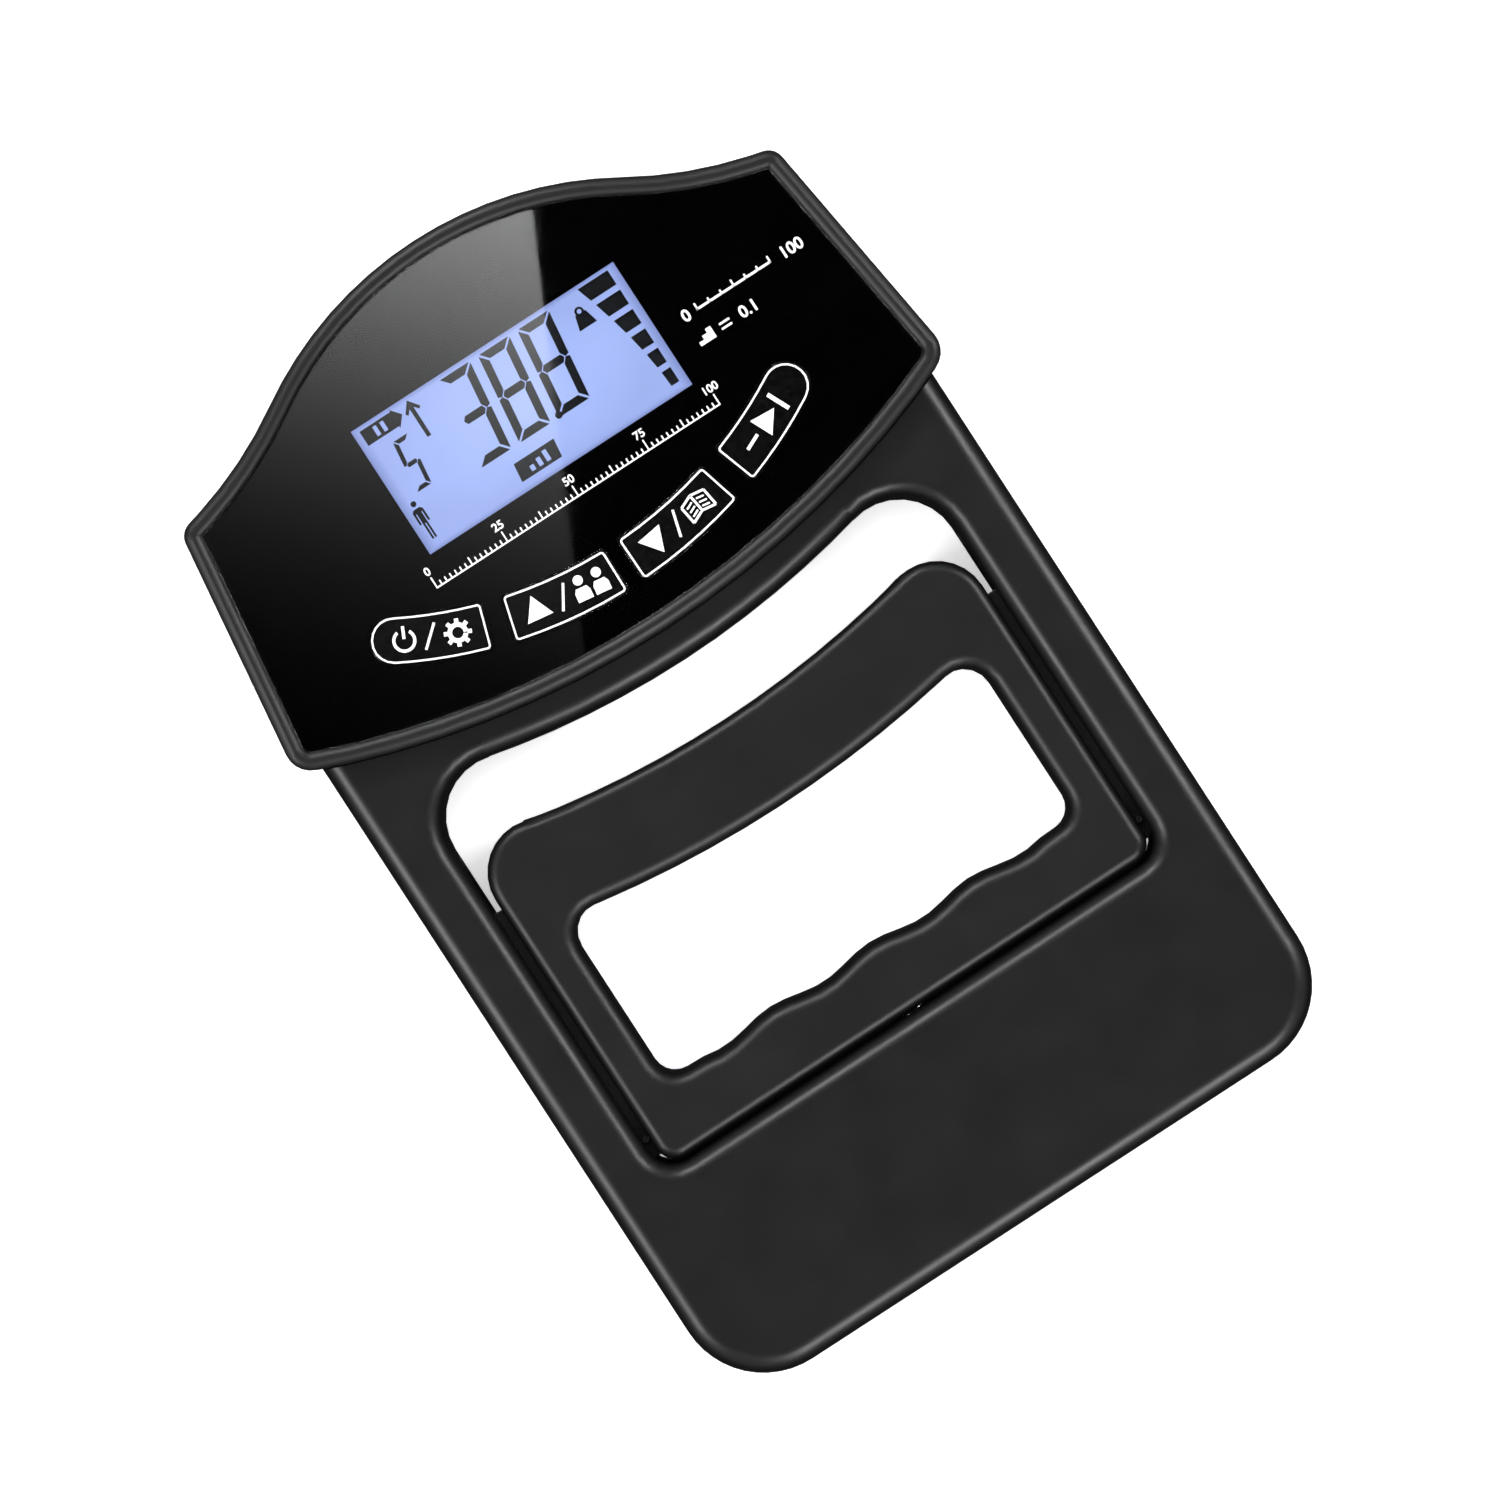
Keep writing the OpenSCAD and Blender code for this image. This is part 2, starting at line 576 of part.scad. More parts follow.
module lcd_marks() {
    digit([-7.1, 3.3], 3.1, 8, 1.45, 0.25, lit_3);
    digit([0.7, 3.3], 3.1, 8, 1.45, 0.25, lit_8);
    digit([8.5, 3.3], 3.1, 8, 1.45, 0.25, lit_8);
    translate([4.6, -4.3]) circle(r = 0.65);
    digit([-20.2, 2.3], 1.5, 4.6, 0.75, 0.15, lit_5);
    // Six bars of the strength scale, wider towards the top
    for (k = [0:5]) {
        y0 = -10.5 + k * 3.84;
        y1 = y0 + 2.8;
        polygon([[24.5, y0], [24.5, y1], [scale_edge(y1), y1], [scale_edge(y0), y0]]);
    }
    // Arrow up
    translate([-15.35, 0]) {
        translate([-0.38, 4.5]) square([0.76, 6.4]);
        polygon([[0, 11.5], [1.45, 9.6], [1.1, 9.2], [0, 10.4], [-1.1, 9.2], [-1.45, 9.6]]);
    }
    // Held-reading tag with a pause mark cut out
    difference() {
        polygon([[-24.8, 8.6], [-24.8, 11.4], [-18.7, 11.4], [-18.7, 11.8], [-17.2, 10], [-18.7, 8.2], [-18.7, 8.6]]);
        for (x = [-22.6, -21.2]) translate([x, 9.1]) square([0.7, 1.8]);
    }
    // Person
    translate([-23.8, -3.6]) circle(r = 0.5);
    polygon([[-24.4, -4.5], [-23.2, -4.5], [-22.8, -4.9], [-22.8, -7.2], [-23.15, -7.2], [-23.2, -5.3],
        [-23.35, -5.3], [-23.35, -10.2], [-23.7, -10.2], [-23.7, -7.3], [-23.9, -7.3], [-23.9, -10.2],
        [-24.25, -10.2], [-24.25, -5.3], [-24.4, -5.3], [-24.45, -7.2], [-24.8, -7.2], [-24.8, -4.9]]);
    // Result tag with three level bars cut out
    difference() {
        polygon([[-6.6, -10.4], [1.3, -10.4], [1.7, -7.1], [-6.2, -7.1]]);
        for (k = [0:2]) translate([-4.2 + k * 1.5, -9.8]) square([0.8, 1 + k * 0.5]);
    }
    // Weight symbol beside the reading
    difference() {
        union() {
            polygon([[15.1, 5.4], [18.5, 5.4], [17.8, 8], [15.8, 8]]);
            translate([16.8, 8.3]) circle(r = 0.8);
        }
        translate([16.8, 8.3]) circle(r = 0.4);
    }
}

module lcd_segments() color("#151515") translate([0, lcd_y, z_glass + glass_t]) linear_extrude(0.1) lcd_marks();

module lcd_backlight() color("white") translate([0, lcd_y, z_light])
    block(-lcd_w / 2 - 2, lcd_w / 2 + 2, -lcd_l / 2 - 0.5, lcd_l / 2 + 0.5, 0, light_t);

module contact_strips() color("#d8a0a8") for (s = [-1, 1])
    translate([0, lcd_y + s * (lcd_l / 2 + 2), 0]) block(-lcd_w / 2, lcd_w / 2, -0.8, 0.8, board_top, z_glass);

// ---- board ----

module main_board() color("#1d5a35") difference() {
    block(-board_x, board_x, board_y0 + 4.5, board_y1, z_board, board_top);
    at_each(board_posts) post(m2 + 0.3, z_board - 1, board_top + 1);
}

module board_parts() color("#202022") {
    translate([0, lcd_y - 4, z_board - 1.6]) block(-7, 7, -7, 7, 0, 1.6);
    translate([24, lcd_y - 6, z_board - 1.2]) block(-4, 4, -2.5, 2.5, 0, 1.2);
    translate([-24, lcd_y + 4, z_board - 1.2]) block(-3, 3, -3, 3, 0, 1.2);
    translate([30, lcd_y + 8, z_board - 2.6]) post(5, 0, 2.6);
    translate([-board_x + 5, board_y0 + 17, z_board - 3.2]) block(-4, 4, -3, 3, 0, 3.2);
    for (k = [0:4]) translate([-12 + k * 6, board_y1 - 6, z_board - 0.6]) block(-1, 1, -0.6, 0.6, 0, 0.6);
}

function key_mid(side, outer) =
    let (a = key_a0 + outer * key_step + key_angle / 2, p = polar((key_r0 + key_r1) / 2, a)) [side * p.x, p.y];

module key_switches() color("#9a9a9e") for (side = [-1, 1], outer = [0, 1])
    translate(concat(key_mid(side, outer), 0)) {
        block(-3, 3, -2.6, 2.6, board_top, board_top + 2.2);
        post(3, board_top + 2.2, z_key_flange - key_travel - 0.15);
    }

module key(side, outer) color("#0c0c0e") mirror([side < 0 ? 1 : 0, 0, 0]) {
    prism(key_outline(outer, 0), z_key_flange + flange_h, z_key_top);
    prism(key_outline(outer, 0.8), z_key_flange, z_key_flange + flange_h);
}

module key_left_outer() key(-1, 1);
module key_left_inner() key(-1, 0);
module key_right_inner() key(1, 0);
module key_right_outer() key(1, 1);

// ---- battery ----

module battery(side) {
    y = bay_y + side * cell_pitch / 2;
    dir = side > 0 ? 1 : -1;
    translate([-dir * cell_l / 2 + dir * 0.8, y, z_cell]) rotate([0, dir * 90, 0]) {
        color("#3a6ea5") cylinder(d = cell_d, h = cell_l - 1);
        color("silver") translate([0, 0, cell_l - 1]) cylinder(d = 3.8, h = 1);
    }
}

module battery_1() battery(-1);
module battery_2() battery(1);

module battery_springs() color("silver") for (side = [-1, 1])
    translate([-side * (bay_x - 0.5), bay_y + side * cell_pitch / 2, z_cell]) rotate([0, side * 90, 0])
        cylinder(d1 = 7, d2 = 4.5, h = bay_x - 0.5 - cell_l / 2 + 0.8);

module battery_plates() color("silver") for (s = [-1, 1])
    block(s * (bay_x - 0.25) - 0.25, s * (bay_x - 0.25) + 0.25, bay_y - bay_l / 2 + 1, bay_y + bay_l / 2 - 1,
        z_back + door_t + 1, z_bay - 1);

module battery_door() color("#242426") {
    difference() {
        union() {
            block(-door_x, door_x, door_y0, door_y1, z_back, z_back + door_t);
            block(-5, 5, door_y0 - 3, door_y0 + eps, z_back, z_back + 1.1);
        }
        for (k = [0:4]) block(-8, 8, door_y0 + 2.5 + k * 1.6, door_y0 + 3.3 + k * 1.6, z_back - 1, z_back + 0.4);
    }
    for (s = [-1, 1]) {
        translate([s * hinge_x - hinge_w / 2, hinge_y, hinge_z]) rotate([0, 90, 0])
            cylinder(r = hinge_r, h = hinge_w);
        translate([s * hinge_x - 4.9, hinge_y, hinge_z]) rotate([0, 90, 0]) cylinder(d = 1.6, h = 9.8);
        block(s * hinge_x - hinge_w / 2, s * hinge_x + hinge_w / 2, door_y1 - eps, hinge_y,
            z_back + 0.1, hinge_z + 0.4);
    }
}

// ---- load cell ----

gauge_x = cell_x * 0.6;

module load_cell() color("#b9bcc2") difference() {
    block(-cell_x, cell_x, y_cell_end, y_cell, z_axis - cell_h / 2, z_axis + cell_h / 2);
    tube_y(screw_d + 2.4, y_cell_end - 1, y_cell + 1);
    for (s = [-1, 1]) {
        for (d = [-3.6, 3.6]) translate([s * gauge_x + d, y_cell - cell_t / 2, 0])
            post(6.4, z_axis - cell_h, z_axis + cell_h);
        translate([s * gauge_x - 3.6, y_cell - cell_t / 2 - 1.2, z_axis - cell_h]) cube([7.2, 2.4, 2 * cell_h]);
        translate([s * (cell_x - 4.5), y_cell - cell_t / 2, 0]) post(m3 + 0.3, z_axis - cell_h, z_axis + cell_h);
        tube_y(m2 + run_gap, y_cell - 5, y_cell + 1, s * cage_screw_x);
    }
}

module strain_gauges() color("#c98b3a") for (s = [-1, 1], d = [-4, 4]) {
    block(s * gauge_x + d - 2.2, s * gauge_x + d + 2.2, y_cell, y_cell + 0.12, z_axis - 2, z_axis + 2);
    block(s * gauge_x + d - 2.2, s * gauge_x + d + 2.2, y_cell_end - 0.12, y_cell_end, z_axis - 2, z_axis + 2);
}

module cell_screws() color("#8f9197") for (s = [-1, 1])
    translate([s * (cell_x - 4.5), y_cell - cell_t / 2, 0]) {
        post(m3, z_floor + 0.5, z_axis + cell_h / 2);
        difference() {
            post(m3_head, z_axis + cell_h / 2, z_axis + cell_h / 2 + 2);
            post(2.4, z_axis + cell_h / 2 + 0.8, z_axis + cell_h / 2 + 3);
        }
    }

// Flat lead from the gauges to the board, under the left guide rail
lead_w = 2.4;
lead_t = 0.9;
z_lead = z_floor + 1.1;
lead_path = [[-gauge_x, y_cell_end - 1.5], [-half_w + 7.6, y_cell_end - 1.5], [-half_w + 5.3, y_cell_end + 0.8],
    [-half_w + 5.3, y_chin + 4], [-board_x + 5, board_y0 + 11], [-board_x + 5, board_y0 + 18]];

// Outline of a strip of width w along a path
function strip(path, w) =
    let (n = len(path) - 1,
        side = [for (i = [0:n]) let (u = unit(path[min(i + 1, n)] - path[max(i - 1, 0)]),
            seg = unit(path[min(i + 1, n)] - path[min(i, n - 1)])) [-u.y, u.x] * w / 2 / max(u * seg, 0.5)])
    concat([for (i = [0:n]) path[i] + side[i]], [for (i = [n:-1:0]) path[i] - side[i]]);

module sensor_lead() color("#2f2f33") {
    prism(strip(lead_path, lead_w), z_lead, z_lead + lead_t);
    translate(concat(lead_path[0], 0))
        block(-lead_w / 2, lead_w / 2, -lead_w / 2, 0.8, z_lead + lead_t - eps, z_axis + 1);
    translate(concat(lead_path[5], 0))
        block(-lead_w / 2, lead_w / 2, -lead_w, 0, z_lead + lead_t - eps, z_board - 3.2);
}

// ---- fasteners and small pieces of the frame ----

module case_screw(z_end) {
    difference() {
        union() {
            post(m3, z_back + 4, z_end);
            post(m3_head, z_back + 2, z_back + 4);
        }
        post(2.4, z_back + 1, z_back + 3);
    }
}

module case_screws() color("#5b5d62") {
    at_each(foot_posts) case_screw(z_plate - 1);
    at_each(head_posts) case_screw(z_ledge);
}

module board_screws() color("#8f9197") at_each(board_posts) {
    post(m2, z_board, z_ledge);
    post(3.6, z_board - 1.4, z_board);
}

module rubber_feet() color("#151515") at_each(foot_pads) post(7.8, 0, z_back + 0.8);

module screw_bushing() color("#cdb36a") difference() {
    union() {
        tube_y(bushing_d, y_inside, y_window - 0.2);
        tube_y(bushing_d + 3, y_inside - flange_t, y_inside);
    }
    tube_y(screw_d + 2 * run_gap, y_inside - 3, y_window + 1);
}

// Guide for one shoe: a bar with a groove, held in the rail between the shells
module rail_guide(s) color("#3a3a3e") mirror([s < 0 ? 1 : 0, 0, 0]) difference() {
    block(window_x + inner_wall + 0.1, half_w - wall - 0.1, shoe_y0 - 2.5, shoe_y1 + travel + 1.5,
        z_split - 5.6, z_split + 5.6);
    block(window_x, shoe_tip + 0.3, shoe_y0 - squeeze - 0.4, shoe_y1 + travel + 0.4,
        z_split - shoe_h / 2 - slide_gap, z_split + shoe_h / 2 + slide_gap);
}

module rail_guide_left() rail_guide(-1);
module rail_guide_right() rail_guide(1);

module rating_plate() color("#b8babd") translate([0, plate_y, 0])
    block(-plate_x + 0.2, plate_x - 0.2, -plate_half + 0.2, plate_half - 0.2, z_back + 0.15, z_back + 0.5);

// ---- load carrier ----

module thrust_washer() color("#c9cbd0") difference() {
    tube_y(washer_d, y_washer - washer_t, y_washer);
    tube_y(screw_d + 1, y_washer - washer_t - 1, y_washer + 1);
}

// Bridge over the wheel that keeps it against the load cell
module wheel_cage() color("#9fa2a8") difference() {
    union() {
        block(-cage_x - 1.8, cage_x + 1.8, y_cage - cage_t, y_cage, z_axis - 4.4, z_axis + 4.4);
        for (s = [-1, 1]) {
            block(s * (cage_x + 0.9) - 0.9, s * (cage_x + 0.9) + 0.9, y_cell, y_cage - cage_t,
                z_axis - 4.4, z_axis + 4.4);
            block(s * (cage_x + 4.8) - 3.2, s * (cage_x + 4.8) + 3.2, y_cell, y_cell + 1.4,
                z_axis - 4.4, z_axis + 4.4);
        }
    }
    tube_y(screw_d + 1, y_cage - cage_t - 1, y_cage + 1);
    for (s = [-1, 1]) tube_y(m2 + 0.2, y_cell - 1, y_cell + 3, s * cage_screw_x);
}

module cage_screws() color("#6f7177") for (s = [-1, 1]) {
    tube_y(m2, y_cell - 4.5, y_cell + 1.4, s * cage_screw_x);
    tube_y(3.6, y_cell + 1.4, y_cell + 2.7, s * cage_screw_x);
}

knurls = 24;

module thumbwheel() color("#2b2b2d") difference() {
    tube_y(wheel_d, y_wheel - wheel_t, y_wheel);
    tube_y(nut_d, y_wheel - wheel_t - 1, y_wheel + 1);
    for (k = [0:knurls - 1]) {
        a = k * 360 / knurls;
        tube_y(1.5, y_wheel - wheel_t - 1, y_wheel + 1, (wheel_d / 2 + 0.2) * cos(a),
            z_axis + (wheel_d / 2 + 0.2) * sin(a));
    }
}

module wheel_nut() color("#c8a84b") difference() {
    tube_y(nut_d, y_wheel - wheel_t, y_wheel);
    tube_y(screw_d + 2 * run_gap, y_wheel - wheel_t - 1, y_wheel + 1);
}

// ---- grip ----

module grip_cavity(z0, z1) {
    translate([0, 0, z0]) linear_extrude(z1 - z0) difference() {
        polygon(grip_pts(grip_wall));
        polygon(hole_pts(grip_wall));
    }
}

// One half shell of the grip, from the split to the face at z = split + half thickness
module grip_half(up) {
    half = grip_t / 2;
    outer = round_steps(grip_edge);
    inner = round_steps(hole_edge);
    difference() {
        union() {
            difference() {
                loft(concat([grip_pts()], [for (s = outer) grip_pts(s[0])]),
                    concat([-1], [for (s = outer) half - s[1]]));
                grip_cavity(-2, half - grip_wall);
            }
            at_each(grip_posts) post(5.5, 0, half - grip_wall + eps);
        }
        loft(concat([hole_pts()], [for (s = inner) hole_pts(s[0])], [hole_pts(hole_edge)]),
            concat([-2], [for (s = inner) half - s[1]], [half + 1]));
        block(-half_w, half_w, y_foot, y_head, -3, 0);
        for (s = [-1, 1])
            block(s * (grip_x - 1) - 2, s * (grip_x - 1) + 2, shoe_y0, shoe_y1, -1, shoe_h / 2);
        translate([0, 0, up]) tube_y(screw_d + 1, y_grip - 1, y_grip + grip_wall + 1, 0, 0);
    }
}

module grip_front() color("#29292b") difference() {
    translate([0, 0, z_split]) grip_half(z_axis - z_split);
    at_each(grip_posts) post(m2 + run_gap, z_split - 1, z_grip_high - grip_wall);
}

module grip_rear() color("#262628") difference() {
    translate([0, 0, z_split]) mirror([0, 0, 1]) grip_half(z_split - z_axis);
    at_each(grip_posts) {
        post(m2 + 0.3, z_grip_low - 1, z_split + 1);
        post(4.4, z_grip_low - 1, z_grip_low + 2.5);
    }
}

module anchor_block() color("#8d9096") difference() {
    block(-13, 13, y_anchor, y_anchor + anchor_l, z_grip_low + grip_wall + 0.5, z_grip_high - grip_wall - 0.5);
    tube_y(screw_d + 2 * run_gap, y_anchor - 1, y_anchor + anchor_l + 1);
}

// The screw's upper end is chamfered by a quarter of its pitch
module lead_screw() color("#b3b6bb") {
    tip = screw_pitch / 4;
    y_tip = y_anchor + anchor_l - 0.3 - tip;
    tube_y(screw_d, y_screw_end, y_tip);
    translate([0, y_tip, z_axis]) rotate([-90, 0, 0]) cylinder(d1 = screw_d, d2 = screw_d - 2 * tip, h = tip);
}

module lock_nut() color("#8f9197") difference() {
    translate([0, y_anchor - 0.2 - grip_wall + 0.1, z_axis]) rotate([-90, 0, 0]) cylinder(d = screw_d + 0.9, h = 2.2);
    tube_y(screw_d, y_grip - 1, y_anchor + 1);
}

module stop_ring() color("#55575c") difference() {
    tube_y(screw_d + 4, y_ring - ring_t, y_ring);
    tube_y(screw_d, y_ring - ring_t - 1, y_ring + 1);
}

module grip_screws() color("#5b5d62") at_each(grip_posts) {
    post(m2, z_grip_low + 2.5, z_grip_high - grip_wall - 1);
    difference() {
        post(3.8, z_grip_low + 1, z_grip_low + 2.5);
        post(1.6, z_grip_low, z_grip_low + 1.8);
    }
}

// Guide shoe: a tongue with a flange that the grip's half shells hold
module shoe(s) color("#1c1c1e") mirror([s < 0 ? 1 : 0, 0, 0]) difference() {
    union() {
        block(grip_x - grip_wall, shoe_tip, shoe_y0, shoe_y1, z_split - shoe_h / 2, z_split + shoe_h / 2);
        block(grip_x - grip_wall - 1.2, grip_x - grip_wall, shoe_y0 + 1.5, shoe_y1, z_split - 4.5, z_split + 4.5);
    }
    translate([grip_x + 0.8, shoe_y0 + 3.5, 0]) post(1.1, z_split - 5, z_split + 5);
}

module shoe_left() shoe(-1);
module shoe_right() shoe(1);

module shoe_dowels() color("#d8dade") for (s = [-1, 1])
    translate([s * (grip_x + 0.8), shoe_y0 + 3.5, 0]) post(1.1, z_split - 3, z_split + 3.6);

rear_shell();
front_shell();
head_bezel();
panel_mask();
display_panel();
lcd_glass();
lcd_segments();
lcd_backlight();
contact_strips();
main_board();
board_parts();
key_switches();
key_left_outer();
key_left_inner();
key_right_inner();
key_right_outer();
battery_1();
battery_2();
battery_springs();
battery_plates();
battery_door();
load_cell();
strain_gauges();
cell_screws();
sensor_lead();
case_screws();
board_screws();
rubber_feet();
screw_bushing();
rail_guide_left();
rail_guide_right();
rating_plate();
thrust_washer();
wheel_cage();
cage_screws();
thumbwheel();
wheel_nut();
grip_front();
grip_rear();
anchor_block();
lead_screw();
lock_nut();
stop_ring();
grip_screws();
shoe_left();
shoe_right();
shoe_dowels();
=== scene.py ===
"""Electronic hand dynamometer, dressed for its picture. Written lengths are millimetres times mm."""
import json
from math import atan2, cos, hypot, pi, radians, sin

import bpy
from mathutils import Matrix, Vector

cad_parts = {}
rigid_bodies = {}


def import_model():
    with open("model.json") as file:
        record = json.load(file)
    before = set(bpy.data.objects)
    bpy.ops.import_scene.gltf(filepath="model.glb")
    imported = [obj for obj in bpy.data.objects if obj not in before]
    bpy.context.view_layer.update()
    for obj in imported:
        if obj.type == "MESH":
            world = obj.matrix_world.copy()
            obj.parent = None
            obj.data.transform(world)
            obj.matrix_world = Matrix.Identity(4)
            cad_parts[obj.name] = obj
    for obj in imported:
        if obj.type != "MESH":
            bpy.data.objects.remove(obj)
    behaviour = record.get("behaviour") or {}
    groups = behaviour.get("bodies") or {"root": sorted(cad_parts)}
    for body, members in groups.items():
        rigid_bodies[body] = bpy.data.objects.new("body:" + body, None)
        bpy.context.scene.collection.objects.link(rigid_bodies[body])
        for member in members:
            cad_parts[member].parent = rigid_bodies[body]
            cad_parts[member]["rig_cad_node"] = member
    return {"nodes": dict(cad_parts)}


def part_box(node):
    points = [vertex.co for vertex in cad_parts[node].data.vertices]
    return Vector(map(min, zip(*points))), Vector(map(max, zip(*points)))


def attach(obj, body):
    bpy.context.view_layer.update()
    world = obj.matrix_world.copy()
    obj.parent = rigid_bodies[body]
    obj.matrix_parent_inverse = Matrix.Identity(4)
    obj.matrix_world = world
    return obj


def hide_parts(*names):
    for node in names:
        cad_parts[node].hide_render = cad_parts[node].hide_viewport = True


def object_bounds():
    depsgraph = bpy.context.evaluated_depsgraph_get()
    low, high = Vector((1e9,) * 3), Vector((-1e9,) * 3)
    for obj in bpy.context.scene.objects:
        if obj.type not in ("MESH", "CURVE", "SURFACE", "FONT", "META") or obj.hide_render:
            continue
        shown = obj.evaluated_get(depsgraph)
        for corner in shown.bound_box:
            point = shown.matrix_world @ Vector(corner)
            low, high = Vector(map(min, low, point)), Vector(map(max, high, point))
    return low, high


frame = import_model()
cad_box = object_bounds()
nodes = frame["nodes"]
mm = 0.001

# ---- places, from the frame ----

head_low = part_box("head_bezel")[0]
panel_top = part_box("display_panel")[1].z
glass_low, glass_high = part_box("lcd_glass")
wheel_low, wheel_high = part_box("thumbwheel")
screw_low, screw_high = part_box("lead_screw")
door_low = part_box("battery_door")[0]
plate_low, plate_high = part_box("rating_plate")
key_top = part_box("key_left_inner")[1].z
glass_mid = (glass_low + glass_high) / 2
wheel_mid = (wheel_low + wheel_high) / 2
screw_mid = (screw_low + screw_high) / 2
plate_mid = (plate_low + plate_high) / 2

window_half = Vector((26 * mm, 12.15 * mm))
key_arc_y = head_low.y + 91.6 * mm
key_arc_r = 79 * mm
ink = 0.03 * mm
fine_stroke = 0.24 * mm
broad_stroke = 0.35 * mm
small_numeral = 2.0 * mm
large_numeral = 2.9 * mm
key_mark_rise = 0.12 * mm
back_mark_rise = 0.12 * mm
back_mark_depth = 0.2 * mm
thread_pitch = 2 * mm
thread_depth = 0.5 * mm
knurls = 60
knurl_depth = 0.35 * mm

# ---- camera ----

camera_at = Vector((0.9, -5.25, 1225)) * mm
camera_turn = radians(-33)
bpy.ops.object.camera_add(location=camera_at, rotation=(0, 0, camera_turn))
camera = bpy.context.object
camera.name = "overhead_camera"
camera.data.sensor_width = 36
camera.data.lens = 172.8
camera.data.clip_end = 10
bpy.context.scene.camera = camera


# ---- hand tools ----


def only(*objects):
    """Leaves just these objects selected, the first of them active."""
    if bpy.context.object and bpy.context.object.mode != "OBJECT":
        bpy.ops.object.mode_set(mode="OBJECT")
    bpy.ops.object.select_all(action="DESELECT")
    for obj in objects:
        obj.select_set(True)
    bpy.context.view_layer.objects.active = objects[0]


def edit_faces(obj, wanted):
    """Opens obj for editing with the faces selected that wanted(centre, normal) picks."""
    only(obj)
    mesh = obj.data
    for part in (mesh.vertices, mesh.edges, mesh.polygons):
        part.foreach_set("select", [False] * len(part))
    for face in mesh.polygons:
        if wanted(face.center, face.normal):
            face.select = True
            for corner in face.vertices:
                mesh.vertices[corner].select = True
    bpy.ops.object.mode_set(mode="EDIT")
    bpy.ops.mesh.select_mode(type="FACE")


def edit_points(obj, wanted):
    """Opens obj for editing with the points selected that wanted(place) picks."""
    only(obj)
    mesh = obj.data
    for part in (mesh.vertices, mesh.edges, mesh.polygons):
        part.foreach_set("select", [False] * len(part))
    for point in mesh.vertices:
        point.select = wanted(point.co)
    bpy.ops.object.mode_set(mode="EDIT")
    bpy.ops.mesh.select_mode(type="VERT")


def close(obj):
    bpy.ops.object.mode_set(mode="OBJECT")
    return obj


def settle(obj):
    """Puts obj's place, turn and size into its mesh."""
    only(obj)
    bpy.ops.object.transform_apply(location=True, rotation=True, scale=True)
    return obj


def modify(obj, kind, **settings):
    """Adds a modifier and applies it at once."""
    only(obj)
    modifier = obj.modifiers.new(kind.lower(), kind)
    for setting, value in settings.items():
        setattr(modifier, setting, value)
    bpy.ops.object.modifier_apply(modifier=modifier.name)
    return obj


def ease(obj, width, angle=38, segments=2):
    """Breaks the sharp edges of a piece and lets its flat faces keep their shading."""
    modify(obj, "BEVEL", width=width, segments=segments, limit_method="ANGLE", angle_limit=radians(angle),
           use_clamp_overlap=False, miter_outer="MITER_ARC")
    return smooth(obj, angle)


def smooth(obj, angle=38):
    only(obj)
    bpy.ops.object.shade_smooth_by_angle(angle=radians(angle))
    return modify(obj, "WEIGHTED_NORMAL", keep_sharp=True, weight=80)


def from_frame(name, node):
    """A working copy of a frame solid, its loose triangles merged and its flat faces made whole."""
    only(nodes[node])
    bpy.ops.object.duplicate()
    piece = bpy.context.object
    piece.parent = None
    piece.name = piece.data.name = name
    del piece["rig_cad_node"]
    piece.data.materials.clear()
    edit_points(piece, lambda place: True)
    bpy.ops.mesh.remove_doubles(threshold=0.4e-6)
    bpy.ops.mesh.dissolve_limited(angle_limit=radians(0.4))
    return close(piece)


def wear(obj, *materials):
    obj.data.materials.clear()
    for material in materials:
        obj.data.materials.append(material)
    return obj


def fit(obj, body, node=None):
    """Hangs a piece on its body, and hides the frame node it stands for when one is given."""
    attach(obj, body)
    if node:
        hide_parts(node)
    return obj


def joined(name, pieces):
    """Makes one piece of several."""
    only(*pieces)
    if len(pieces) > 1:
        bpy.ops.object.join()
    piece = bpy.context.object
    piece.name = piece.data.name = name
    return piece


def turned(points, turn, at):
    """Points turned about the origin and moved to at."""
    c, s = cos(turn), sin(turn)
    return [(at[0] + x * c - y * s, at[1] + x * s + y * c) for x, y in points]


def plate(outline, level, thickness=ink):
    """A thin plate with a given outline, standing up from a level."""
    area = sum(a[0] * b[1] - b[0] * a[1] for a, b in zip(outline, outline[1:] + outline[:1]))
    if area < 0:
        outline = outline[::-1]
    bpy.ops.mesh.primitive_circle_add(vertices=len(outline), radius=mm, fill_type="NGON", location=(0, 0, 0))
    piece = bpy.context.object
    order = piece.data.polygons[0].vertices
    for corner, (x, y) in zip(order, outline):
        piece.data.vertices[corner].co = (x, y, level)
    edit_faces(piece, lambda centre, normal: True)
    bpy.ops.mesh.extrude_region_move(TRANSFORM_OT_translate={"value": (0, 0, thickness)})
    bpy.ops.mesh.select_all(action="SELECT")
    bpy.ops.mesh.normals_make_consistent(inside=False)
    return close(piece)


def bar(start, end, width, level, thickness=ink):
    """A straight stroke of ink from start to end."""
    dx, dy = end[0] - start[0], end[1] - start[1]
    run = hypot(dx, dy)
    px, py = -dy / run * width / 2, dx / run * width / 2
    return plate([(start[0] + px, start[1] + py), (start[0] - px, start[1] - py),
                  (end[0] - px, end[1] - py), (end[0] + px, end[1] + py)], level, thickness)


def ring_arc(at, radius, width, start, end, level, steps=20):
    """Part of a ring of ink, from angle start to end in degrees."""
    angles = [radians(start + (end - start) * k / steps) for k in range(steps + 1)]
    outer = [(at[0] + (radius + width / 2) * cos(a), at[1] + (radius + width / 2) * sin(a)) for a in angles]
    inner = [(at[0] + (radius - width / 2) * cos(a), at[1] + (radius - width / 2) * sin(a)) for a in angles]
    return plate(outer + inner[::-1], level)


